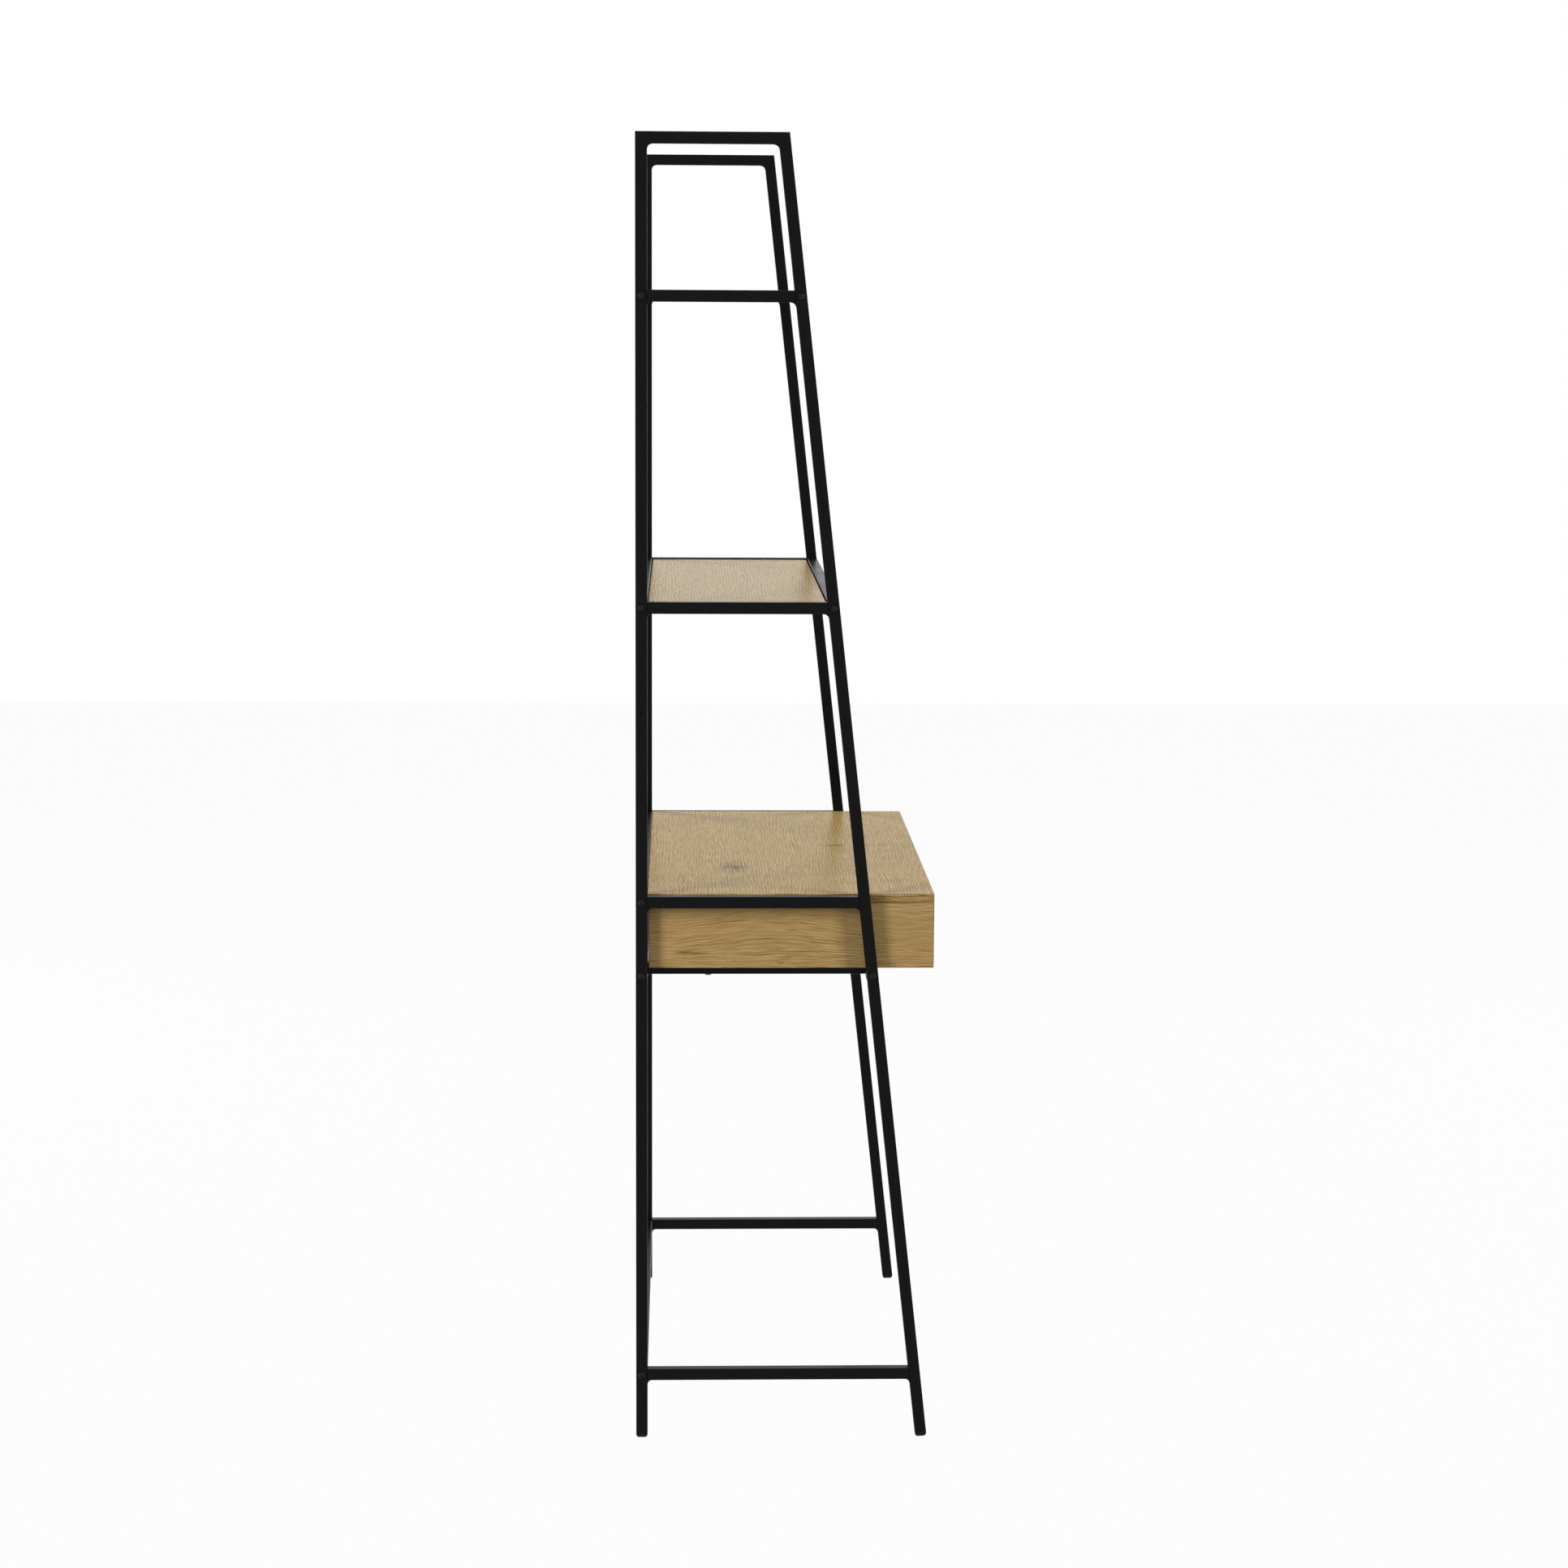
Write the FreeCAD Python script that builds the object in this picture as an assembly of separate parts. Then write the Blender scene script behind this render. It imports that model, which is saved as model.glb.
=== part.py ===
import FreeCAD, Part
import math
import os

V = FreeCAD.Vector

# Ladder desk with two shelves and one drawer, in millimetres.
# +Z is up, the front faces -Y and the wall side faces +Y. The origin is on the floor,
# in the middle of the footprint. A depth is counted forward from the back of the rear legs.

# ---- overall sizes ---------------------------------------------------------------------
overall_height = 1800.0        # floor to the top of the side frames
frame_width = 770.0            # over the outer faces of the two side frames
foot_depth = 408.0             # side frame at the floor, over both legs
top_depth = 205.5              # side frame at the top, over both legs
desk_depth = 411.0             # back of the rear legs to the front edge of the desktop

# ---- square steel tube -----------------------------------------------------------------
tube = 16.0
tube_wall = 1.2
tube_corner = 1.5              # outer corner radius
tube_inner_corner = 0.3
weld_leg = 6.0                 # length of each leg of a weld fillet
hanging_hole_height = 1023.0   # hole in each rear leg that the frame hangs by while coated
hanging_hole_radius = 1.25

# ---- heights of the rails, to their top faces --------------------------------------------
upper_shelf_rail_top = 1592.5
lower_shelf_rail_top = 1175.0
desk_rail_top = 770.5
foot_rail_top = 99.5

# ---- boards ----------------------------------------------------------------------------
board_edge = 0.5               # rounding along the edges of every faced board
board_side_gap = 1.0           # board to side frame
shelf_thickness = 12.0
shelf_back_gap = 1.5
shelf_front_gap = 1.8
desktop_thickness = 12.0
desktop_proud = 1.0            # desktop's face above the desk rails
desktop_back_gap = 0.4
panel_thickness = 12.0         # sides, back and bottom of the box under the desktop
box_side_height = 91.5
box_back_step = 1.4            # back of the box in front of the desktop's back edge

# ---- frame under the box ---------------------------------------------------------------
under_rail_inset = 52.5        # outer face of the side frame to the outer face of the rail
under_screw_depth = 100.0      # screw through each front-to-back rail
under_screw_spread = 360.0     # between the two screws in the front cross rail
under_screw_grip = 9.0         # thread in the bottom panel
under_screw_radius = 2.5
under_screw_head_radius = 6.5
under_screw_head_height = 2.8

# ---- frame bolts, M6 with button heads ---------------------------------------------------
bolt_radius = 3.0
bolt_length = 30.0
bolt_head_radius = 5.25
bolt_head_height = 3.3
bolt_crown_radius = 3.05       # flat ring round the socket
bolt_dome_bulge = 0.75         # dome's rise over a straight cone
bolt_socket_width = 4.0        # across the flats of the hexagon
bolt_socket_depth = 2.1
bolt_hole_clearance = 0.3
thread_clearance = 0.05
insert_length = 18.0           # threaded block in each end of a cross rail
insert_corner = 1.0
plug_clearance = 0.1           # insert or foot plug to the inside of its tube

# ---- feet ------------------------------------------------------------------------------
foot_height = 6.5              # part of the plastic foot below the tube
foot_straight = 2.2            # upper part of it, as wide as the tube
foot_base = 10.5               # width of the flat base
foot_base_corner = 1.2
foot_plug_length = 18.0

# ---- shelf tabs and their screws ---------------------------------------------------------
tab_thickness = 2.0            # flush with the underside of the rail
tab_length = 22.0              # inwards from the rail
tab_cope = 0.75                # reach of its end under the rail's round corner
tab_width = 18.0
tab_inset = 30.0               # centre of the tab to the front or back edge of the shelf
tab_hole_from_rail = 14.0
tab_screw_radius = 2.0
tab_screw_grip = 9.0
tab_screw_head_radius = 4.0    # flat head, flush with the tab's underside
tab_socket_width = 2.5         # across the flats of the hexagon
tab_socket_depth = 1.3
screw_hole_clearance = 0.25
screw_crown = 0.55             # flat middle of a domed screw head, as a share of its width

# ---- dowels and cam fittings of the box --------------------------------------------------
dowel_radius = 3.0
dowel_clearance = 0.05
dowel_shallow = 8.0            # depth of the end in a board's face
dowel_deep = 15.0              # depth of the end in a board's edge
dowel_end_room = 0.5           # air left at each end of a dowel's hole
dowel_inset = 28.0             # outer dowels to the front or back of the box
back_dowel_inset = 20.0        # dowels of the back panel to its top or bottom edge
cam_radius = 6.0
cam_floor = 2.5                # wood left under a cam
cam_edge_distance = 14.0       # cam's centre to the board's edge
cam_inset = 70.0               # cams to the front or back of the box
cam_clearance = 0.1
cam_mouth_radius = 3.4         # hollow in the cam that swallows the bolt's head
cam_slot_length = 8.4
cam_slot_width = 1.4
cam_slot_depth = 1.5
cam_bolt_thread_radius = 2.5
cam_bolt_thread_length = 8.0
cam_bolt_shank_radius = 1.75
cam_bolt_head_radius = 3.0
cam_bolt_head_length = 2.5
cam_bolt_bore_radius = 3.5

# ---- drawer ----------------------------------------------------------------------------
drawer_front_gap = 2.0         # all round the drawer front
drawer_front_recess = 1.0      # behind the front edges of the box
drawer_panel = 12.0            # front, sides and back
drawer_side_height = 55.0
drawer_side_lift = 8.0         # lower edge of the drawer's side above the box's bottom panel
drawer_rear_room = 12.2        # air behind the drawer's sides
drawer_bottom_thickness = 3.0
drawer_bottom_lift = 6.0       # groove above the lower edge of the drawer's side
groove_depth = 5.0
groove_clearance = 0.2
grip_width = 110.0             # cut-out in the top edge of the drawer front
grip_depth = 22.0
grip_corner = 14.0
grip_edge = 1.5                # rounding of the cut-out's edges
drawer_dowel_from_top = 10.0
drawer_dowel_from_bottom = 18.0
drawer_screw_radius = 1.75
drawer_screw_length = 30.0
drawer_screw_head_radius = 3.5
drawer_screw_from_top = 6.0
drawer_screw_from_bottom = 12.5

# ---- drawer slides, each a fixed channel, a moving bar and a cage of balls between ---------
slide_thickness = 12.7
slide_height = 35.0
slide_wall = 1.2               # channel
slide_flange_gap = 3.2         # channel's edge to the drawer's side
slide_front_room = 2.5         # slide to the back of the drawer front
slide_rear_room = 3.5          # slide to the rear ends of the drawer's sides
slide_overlap = 100.0          # bar left in the channel when the drawer is fully out
lip = 0.8                      # turned edges that keep the balls in
bar_wall = 1.0
ball_diameter = 3.2
ball_clearance = 0.05
ball_pitch = 12.0
cage_wall = 0.8
cage_channel_gap = 2.0         # cage's web to the channel's
cage_bar_gap = 0.6             # cage's web to the bar's edges
cage_web = 0.6
cage_arm_setback = 1.3         # end of the cage's arms to the channel's edge
cage_end_room = 2.0            # cage to the ends of the overlap at full travel
cage_ball_margin = 6.0         # first ball to the end of the cage
cage_ball_clearance = 0.1
slide_screw_radius = 1.75
slide_screw_grip = 8.8
slide_screw_head_radius = 3.0
slide_screw_head_height = 1.5
slide_screw_inset = 28.0       # end screws to the ends of the slide

# ---- modelling allowances ----------------------------------------------------------------
stock_length = 1.2 * (overall_height + foot_depth)   # tube before it is cut to its joints
cutter_size = 4.0 * (overall_height + frame_width)   # block that cuts off what lies past a plane
cutter_overrun = 1.0                                 # cutter past the face that it opens
match = 0.01                                         # nearness that counts as the same place

# ---- places worked out from the sizes above ----------------------------------------------
back_y = desk_depth / 2.0
slope = math.atan((foot_depth - top_depth) / overall_height)
half_width = frame_width / 2.0
inner_half_width = half_width - tube
box_half_width = inner_half_width - board_side_gap
box_inner_half = box_half_width - panel_thickness
cam_depth = panel_thickness - cam_floor
shelf_recess = tube - tab_thickness - shelf_thickness   # shelf's face below the top of its rails
desktop_top = desk_rail_top + desktop_proud
desktop_underside = desktop_top - desktop_thickness
box_bottom_z = desktop_underside - box_side_height
box_floor_z = box_bottom_z + panel_thickness
desktop_back_depth = tube + desktop_back_gap
box_back_depth = desktop_back_depth + box_back_step
box_inner_back_depth = box_back_depth + panel_thickness
drawer_front_face_depth = desk_depth - drawer_front_recess
drawer_front_back_depth = drawer_front_face_depth - drawer_panel
drawer_rear_depth = box_inner_back_depth + drawer_rear_room
drawer_half_width = box_inner_half - slide_thickness
drawer_inner_half = drawer_half_width - drawer_panel
drawer_side_z = box_floor_z + drawer_side_lift
drawer_side_top = drawer_side_z + drawer_side_height
groove_z = drawer_side_z + drawer_bottom_lift
slide_front_depth = drawer_front_back_depth - slide_front_room
slide_rear_depth = drawer_rear_depth + slide_rear_room
slide_length = slide_front_depth - slide_rear_depth
drawer_travel = slide_length - slide_overlap
slide_z = drawer_side_z + drawer_side_height / 2.0
bar_half_height = slide_height / 2.0 - slide_wall - ball_diameter - 2.0 * ball_clearance
ball_z = bar_half_height + ball_clearance + ball_diameter / 2.0
slide_flange = slide_thickness - slide_flange_gap
cage_web_offset = slide_wall + cage_channel_gap
bar_edge = cage_web_offset + cage_web + cage_bar_gap
ball_offset = (bar_edge + slide_flange) / 2.0
cage_edge = slide_flange - cage_arm_setback
cage_length = slide_overlap - 2.0 * cage_end_room

SIDES = {"left": -1.0, "right": 1.0}
SIDE_RAIL_TOPS = {
    "top_rail": overall_height,
    "upper_shelf_rail": upper_shelf_rail_top,
    "lower_shelf_rail": lower_shelf_rail_top,
    "desk_rail": desk_rail_top,
    "foot_rail": foot_rail_top,
}


# ---- small helpers -----------------------------------------------------------------------
def at_depth(depth):
    """Y of a point that lies this far in front of the back of the rear legs."""
    return back_y - depth


def front_leg_axis_depth(z):
    """Depth of the front leg's centre line at this height."""
    return foot_depth - tube / 2.0 / math.cos(slope) - z * math.tan(slope)


def front_leg_back_depth(z):
    """Depth of the front leg's rear face at this height."""
    return foot_depth - tube / math.cos(slope) - z * math.tan(slope)


def block(x0, x1, depth0, depth1, z0, z1):
    """Box between two X, two depths and two heights."""
    corner = V(min(x0, x1), at_depth(max(depth0, depth1)), z0)
    return Part.makeBox(abs(x1 - x0), abs(depth1 - depth0), z1 - z0, corner)


def rod(radius, start, end):
    """Round bar from one point to another."""
    along = end - start
    return Part.makeCylinder(radius, along.Length, start, along)


def rounded_square(width, corner, z=0.0):
    """Closed outline of a square with round corners, about the Z axis."""
    straight = width / 2.0 - corner
    half = width / 2.0
    diagonal = straight + corner * math.sqrt(0.5)
    edges = []
    for turn in range(4):
        quarter = FreeCAD.Rotation(V(0, 0, 1), 90.0 * turn)
        points = [
            V(half, -straight, z),
            V(half, straight, z),
            V(diagonal, diagonal, z),
            V(straight, half, z),
        ]
        points = [quarter.multVec(point) for point in points]
        edges.append(Part.LineSegment(points[0], points[1]).toShape())
        edges.append(Part.Arc(points[1], points[2], points[3]).toShape())
    return Part.Wire(Part.__sortEdges__(edges))


def square_bar(width, corner, length):
    """Solid bar with round corners, standing on the origin."""
    return Part.Face(rounded_square(width, corner)).extrude(V(0, 0, length))


def tube_from(start, axis, length, turn=0.0, hollow=True):
    """Tube that stands on a point, turned about an axis there; not hollow, it is its own cutter."""
    shape = square_bar(tube, tube_corner, length)
    if hollow:
        shape = shape.cut(square_bar(tube - 2.0 * tube_wall, tube_inner_corner, length))
    shape.Placement = FreeCAD.Placement(start, FreeCAD.Rotation(axis, turn))
    return shape


def cut_beyond(shape, point, normal):
    """The shape without what lies past the plane through the point, on the normal's side."""
    half = cutter_size / 2.0
    waste = Part.makeBox(cutter_size, cutter_size, cutter_size, V(-half, -half, 0))
    waste.Placement = FreeCAD.Placement(point, FreeCAD.Rotation(V(0, 0, 1), normal))
    return shape.cut(waste)


def board(x0, x1, depth0, depth1, z0, z1):
    """Faced board with slightly rounded edges."""
    shape = block(x0, x1, depth0, depth1, z0, z1)
    return shape.makeFillet(board_edge, shape.Edges)


def prism(points, along):
    """Solid of a flat outline pushed along a vector."""
    outline = Part.makePolygon(points + [points[0]])
    return Part.Face(outline).extrude(along)


def screw(seat, direction, shank_radius, shank_length, head_radius, head_height):
    """Domed screw: its head stands on the seat, its shank runs along the direction."""
    direction = V(direction).normalize()
    crown = seat - direction * head_height
    head = Part.makeCone(head_radius * screw_crown, head_radius, head_height, crown, direction)
    return head.fuse(rod(shank_radius, seat, seat + direction * shank_length)).removeSplitter()


def countersunk_screw(seat, direction, shank_radius, shank_length, head_radius, grow=0.0, room=0.0):
    """Flat-headed screw, flush with its seat; grow and room make its hole."""
    direction = V(direction).normalize()
    sink = head_radius - shank_radius
    head = Part.makeCone(head_radius + grow, shank_radius + grow, sink, seat, direction)
    shank = rod(shank_radius + grow, seat, seat + direction * (shank_length + room))
    return head.fuse(shank).removeSplitter()


def hexagon(width, depth, centre, direction):
    """Hexagonal socket cutter, its mouth at the centre point, running along the direction."""
    reach = width / math.sqrt(3.0)
    corners = []
    for step in range(6):
        angle = math.radians(60.0 * step)
        corners.append(V(reach * math.cos(angle), reach * math.sin(angle), 0))
    shape = prism(corners, V(0, 0, depth))
    shape.Placement = FreeCAD.Placement(centre, FreeCAD.Rotation(V(0, 0, 1), direction))
    return shape


def save(name, solids):
    """Write one node: a single solid, or a group of separate solids."""
    shape = solids[0] if len(solids) == 1 else Part.makeCompound(solids)
    shape.exportStep(os.path.join("parts", name + ".step"))


# ---- places shared by several parts ------------------------------------------------------
def rail_centre_z(top):
    return top - tube / 2.0


def cross_rail_places():
    """Depth and top height of every rail that joins the two side frames."""
    upper_z = rail_centre_z(upper_shelf_rail_top)
    lower_z = rail_centre_z(lower_shelf_rail_top)
    under_z = rail_centre_z(box_bottom_z)
    rear = tube / 2.0
    return {
        "upper_shelf_rear_rail": (rear, upper_shelf_rail_top),
        "upper_shelf_front_rail": (front_leg_axis_depth(upper_z), upper_shelf_rail_top),
        "lower_shelf_rear_rail": (rear, lower_shelf_rail_top),
        "lower_shelf_front_rail": (front_leg_axis_depth(lower_z), lower_shelf_rail_top),
        "desk_rear_rail": (rear, desk_rail_top),
        "under_desk_rear_rail": (rear, box_bottom_z),
        "under_desk_front_rail": (front_leg_axis_depth(under_z), box_bottom_z),
        "foot_rear_rail": (rear, foot_rail_top),
    }


def bolt_places(front):
    """Depth and height of the bolts through a front or a rear leg."""
    places = []
    for name, (depth, top) in cross_rail_places().items():
        if ("front" in name) == front:
            places.append((depth, rail_centre_z(top)))
    return places


def under_screw_places():
    """X and depth of the screws that hold the box down on the frame under it."""
    rail_x = half_width - under_rail_inset - tube / 2.0
    front_depth = cross_rail_places()["under_desk_front_rail"][0]
    places = [(side * rail_x, under_screw_depth) for side in SIDES.values()]
    places += [(side * under_screw_spread / 2.0, front_depth) for side in SIDES.values()]
    return places


def shelf_span(name):
    """Back depth, front depth and top of a shelf board."""
    front_depth, top = cross_rail_places()[name + "_front_rail"]
    front = front_depth - tube / 2.0 - shelf_front_gap
    return tube + shelf_back_gap, front, top - shelf_recess


def tab_places(name):
    """Side and depth of the four tabs of a shelf."""
    back, front, top = shelf_span(name)
    depths = (back + tab_inset, front - tab_inset)
    return [(side, depth) for side in SIDES.values() for depth in depths]


def box_joint_depths(inset):
    """Front and back places of the fittings along the box."""
    return box_back_depth + inset, desk_depth - inset


def dowel_depths():
    back, front = box_joint_depths(dowel_inset)
    return back, (back + front) / 2.0, front


def slide_screw_depths():
    rear = slide_rear_depth + slide_screw_inset
    front = slide_front_depth - slide_screw_inset
    return rear, (rear + front) / 2.0, front


# ---- side frames -------------------------------------------------------------------------
def drill_leg(leg, side, places, radius):
    """Cut round holes across a leg at the given depths and heights."""
    for depth, z in places:
        y = at_depth(depth)
        start = V(side * (inner_half_width - tube), y, z)
        leg = leg.cut(rod(radius, start, V(side * (half_width + tube), y, z)))
    return leg


def rear_leg(side):
    x = side * (half_width - tube / 2.0)
    axis_y = at_depth(tube / 2.0)
    leg = tube_from(V(x, axis_y, foot_height), V(0, 0, 1), stock_length)
    leg = cut_beyond(leg, V(0, back_y, overall_height), V(0, -1, 1))
    leg = drill_leg(leg, side, bolt_places(front=False), bolt_radius + bolt_hole_clearance)
    outer = V(side * (half_width + tube), axis_y, hanging_hole_height)
    return leg.cut(rod(hanging_hole_radius, outer, V(x, axis_y, hanging_hole_height)))


def front_mitre():
    """Point and rail-side normal of the joint at the front top corner."""
    outer = V(0, at_depth(top_depth), overall_height)
    inner_z = overall_height - tube
    inner = V(0, at_depth(front_leg_back_depth(inner_z)), inner_z)
    line = outer - inner
    return outer, V(0, -line.z, line.y)


def leg_direction():
    return V(0, math.sin(slope), math.cos(slope))


def front_leg(side):
    x = side * (half_width - tube / 2.0)
    foot = V(x, at_depth(front_leg_axis_depth(0)), 0)
    start = foot + leg_direction() * foot_height
    leg = tube_from(start, V(1, 0, 0), stock_length, -math.degrees(slope))
    point, rail_normal = front_mitre()
    leg = cut_beyond(leg, point, rail_normal * -1.0)
    return drill_leg(leg, side, bolt_places(front=True), bolt_radius + bolt_hole_clearance)


def side_top_rail(side):
    x = side * (half_width - tube / 2.0)
    rail = tube_from(V(x, back_y, rail_centre_z(overall_height)), V(1, 0, 0), stock_length, 90.0)
    rail = cut_beyond(rail, V(0, back_y, overall_height), V(0, 1, -1))
    point, normal = front_mitre()
    return cut_beyond(rail, point, normal)


def side_rail(side, top):
    """Level rail from the rear leg's front face to the front leg's sloping rear face."""
    x = side * (half_width - tube / 2.0)
    rail = tube_from(V(x, at_depth(tube), rail_centre_z(top)), V(1, 0, 0), stock_length, 90.0)
    leg_face = V(0, at_depth(front_leg_back_depth(0)), 0)
    return cut_beyond(rail, leg_face, V(0, -math.cos(slope), math.sin(slope)))


def weld_fillet(side, corner, along_rail, along_leg):
    """Hollow-faced weld in the angle under a rail."""
    flat = tube - 2.0 * tube_corner
    corner = corner + V(side * (half_width - tube / 2.0) - flat / 2.0, 0, 0)
    toe_rail = corner + along_rail * weld_leg
    toe_leg = corner + along_leg * weld_leg
    hollow = 1.0 - math.sqrt(0.5)
    middle = corner + (along_rail + along_leg) * (weld_leg * hollow)
    edges = [
        Part.LineSegment(corner, toe_rail).toShape(),
        Part.Arc(toe_rail, middle, toe_leg).toShape(),
        Part.LineSegment(toe_leg, corner).toShape(),
    ]
    return Part.Face(Part.Wire(edges)).extrude(V(flat, 0, 0))


def frame_welds(side):
    welds = []
    for top in SIDE_RAIL_TOPS.values():
        z = top - tube
        rear = V(0, at_depth(tube), z)
        front = V(0, at_depth(front_leg_back_depth(z)), z)
        welds.append(weld_fillet(side, rear, V(0, -1, 0), V(0, 0, -1)))
        welds.append(weld_fillet(side, front, V(0, 1, 0), leg_direction() * -1.0))
    return welds


# ---- feet --------------------------------------------------------------------------------
def foot_shape(below):
    """Foot about the Z axis, tube end at foot_height, with a base that starts at -below."""
    taper_top = foot_height - foot_straight
    base = rounded_square(foot_base, foot_base_corner, -below)
    shoulder = rounded_square(tube, tube_corner, taper_top)
    taper = Part.makeLoft([base, shoulder], True, True)
    collar = square_bar(tube, tube_corner, foot_straight)
    collar.translate(V(0, 0, taper_top))
    plug_width = tube - 2.0 * tube_wall - 2.0 * plug_clearance
    plug = square_bar(plug_width, insert_corner, foot_plug_length)
    plug.translate(V(0, 0, foot_height))
    return taper.fuse(collar).fuse(plug).removeSplitter()


def rear_foot(side):
    foot = foot_shape(0.0)
    foot.translate(V(side * (half_width - tube / 2.0), at_depth(tube / 2.0), 0))
    return foot


def front_foot(side):
    """Foot in line with the sloping leg, cut level at the floor."""
    foot = foot_shape(tube * math.tan(slope))
    origin = V(side * (half_width - tube / 2.0), at_depth(front_leg_axis_depth(0)), 0)
    foot.Placement = FreeCAD.Placement(origin, FreeCAD.Rotation(V(1, 0, 0), -math.degrees(slope)))
    return cut_beyond(foot, V(0, 0, 0), V(0, 0, -1))


# ---- rails between the side frames -------------------------------------------------------
def cross_rail(name):
    depth, top = cross_rail_places()[name]
    start = V(-inner_half_width, at_depth(depth), rail_centre_z(top))
    rail = tube_from(start, V(0, 1, 0), 2.0 * inner_half_width, 90.0)
    if name == "under_desk_front_rail":
        rail = drill_for_under_screws(rail)
    return rail


def drill_for_under_screws(rail):
    for x, depth in under_screw_places():
        low = V(x, at_depth(depth), box_bottom_z - 2.0 * tube)
        high = V(x, at_depth(depth), box_bottom_z + tube)
        rail = rail.cut(rod(under_screw_radius + screw_hole_clearance, low, high))
    return rail


def under_desk_side_rail(side):
    """Front-to-back rail that carries the box."""
    x = side * (half_width - under_rail_inset - tube / 2.0)
    front = cross_rail_places()["under_desk_front_rail"][0] - tube / 2.0
    start = V(x, at_depth(tube), rail_centre_z(box_bottom_z))
    return drill_for_under_screws(tube_from(start, V(1, 0, 0), front - tube, 90.0))


def rail_inserts():
    """Threaded blocks in both ends of every cross rail."""
    width = tube - 2.0 * tube_wall - 2.0 * plug_clearance
    blocks = []
    for depth, top in cross_rail_places().values():
        for side in SIDES.values():
            shape = square_bar(width, insert_corner, insert_length)
            shape = shape.cut(Part.makeCylinder(bolt_radius + thread_clearance, insert_length))
            end = V(side * inner_half_width, at_depth(depth), rail_centre_z(top))
            shape.Placement = FreeCAD.Placement(end, FreeCAD.Rotation(V(0, 1, 0), -side * 90.0))
            blocks.append(shape)
    return blocks


def button_bolt(side, depth, z):
    """M6 bolt with a domed head and a hexagonal socket, head on the leg's outer face."""
    inward = V(-side, 0, 0)
    seat = V(side * half_width, at_depth(depth), z)
    crown = seat - inward * bolt_head_height
    rim = seat + V(0, bolt_head_radius, 0)
    shoulder = crown + V(0, bolt_crown_radius, 0)
    chord = (shoulder - rim).normalize()
    outward = V(0, 1, 0) - chord * chord.y
    middle = (rim + shoulder) * 0.5 + outward.normalize() * bolt_dome_bulge
    edges = [
        Part.LineSegment(seat, rim).toShape(),
        Part.Arc(rim, middle, shoulder).toShape(),
        Part.LineSegment(shoulder, crown).toShape(),
        Part.LineSegment(crown, seat).toShape(),
    ]
    head = Part.Face(Part.Wire(edges)).revolve(seat, V(1, 0, 0), 360.0)
    head = head.cut(hexagon(bolt_socket_width, bolt_socket_depth, crown, inward))
    return head.fuse(rod(bolt_radius, seat, seat + inward * bolt_length)).removeSplitter()


def frame_bolts():
    bolts = []
    for side in SIDES.values():
        for depth, z in bolt_places(front=False) + bolt_places(front=True):
            bolts.append(button_bolt(side, depth, z))
    return bolts


# ---- shelves -----------------------------------------------------------------------------
def shelf_board(name):
    back, front, top = shelf_span(name)
    underside = top - shelf_thickness
    shelf = board(-box_half_width, box_half_width, back, front, underside, top)
    for side, depth in tab_places(name):
        shelf = shelf.cut(tab_screw_body(name, side, depth, thread_clearance, dowel_end_room))
    return shelf


def shelf_tab(name, side, depth):
    """Steel plate under the board, its end shaped to the rail's round corner and welded there."""
    underside = shelf_span(name)[2] - shelf_thickness
    root_x = side * (inner_half_width + tab_cope)
    tip_x = side * (inner_half_width - tab_length)
    low = underside - tab_thickness
    tab = block(root_x, tip_x, depth - tab_width / 2.0, depth + tab_width / 2.0, low, underside)
    rail_x = side * (half_width - tube / 2.0)
    rail_start = V(rail_x, at_depth(depth - tab_width), rail_centre_z(SIDE_RAIL_TOPS[name + "_rail"]))
    tab = tab.cut(tube_from(rail_start, V(1, 0, 0), 2.0 * tab_width, 90.0, hollow=False))
    return tab.cut(tab_screw_body(name, side, depth, thread_clearance))


def tab_screw_seat(name, side, depth):
    """Middle of the screw's head, in the tab's underside."""
    seat_z = shelf_span(name)[2] - shelf_thickness - tab_thickness
    return V(side * (inner_half_width - tab_hole_from_rail), at_depth(depth), seat_z)


def tab_screw_body(name, side, depth, grow=0.0, room=0.0):
    """Screw that holds the shelf on a tab; grow and room make its hole."""
    seat = tab_screw_seat(name, side, depth)
    length = tab_thickness + tab_screw_grip
    return countersunk_screw(seat, V(0, 0, 1), tab_screw_radius, length, tab_screw_head_radius, grow, room)


def shelf_screw(name, side, depth):
    seat = tab_screw_seat(name, side, depth)
    socket = hexagon(tab_socket_width, tab_socket_depth, seat, V(0, 0, 1))
    return tab_screw_body(name, side, depth).cut(socket)


def for_every_tab(make):
    return [make(name, side, depth) for name in ("upper_shelf", "lower_shelf")
            for side, depth in tab_places(name)]


# ---- box under the desktop ---------------------------------------------------------------
def box_dowels():
    """Ends, as (shallow end, deep end, seam), of every dowel in the box."""
    seams = []
    for side in SIDES.values():
        side_x = side * (box_half_width - panel_thickness / 2.0)
        seam_x = side * box_inner_half
        for depth in dowel_depths():
            top = V(side_x, at_depth(depth), desktop_underside)
            seams.append((top, V(0, 0, -1)))
            floor_seam = V(seam_x, at_depth(depth), box_bottom_z + panel_thickness / 2.0)
            seams.append((floor_seam, V(-side, 0, 0)))
        back_depth = box_back_depth + panel_thickness / 2.0
        for z in (box_floor_z + back_dowel_inset, desktop_underside - back_dowel_inset):
            seams.append((V(seam_x, at_depth(back_depth), z), V(-side, 0, 0)))
    return seams


def dowel(seam, into_edge, grow=0.0, room=0.0):
    """Dowel across a seam; grow and room turn it into its own hole's cutter."""
    start = seam - into_edge * (dowel_shallow + room)
    end = seam + into_edge * (dowel_deep + room)
    return rod(dowel_radius + grow, start, end)


def dowel_cutters(seams):
    return [dowel(seam, into, dowel_clearance, dowel_end_room) for seam, into in seams]


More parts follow.
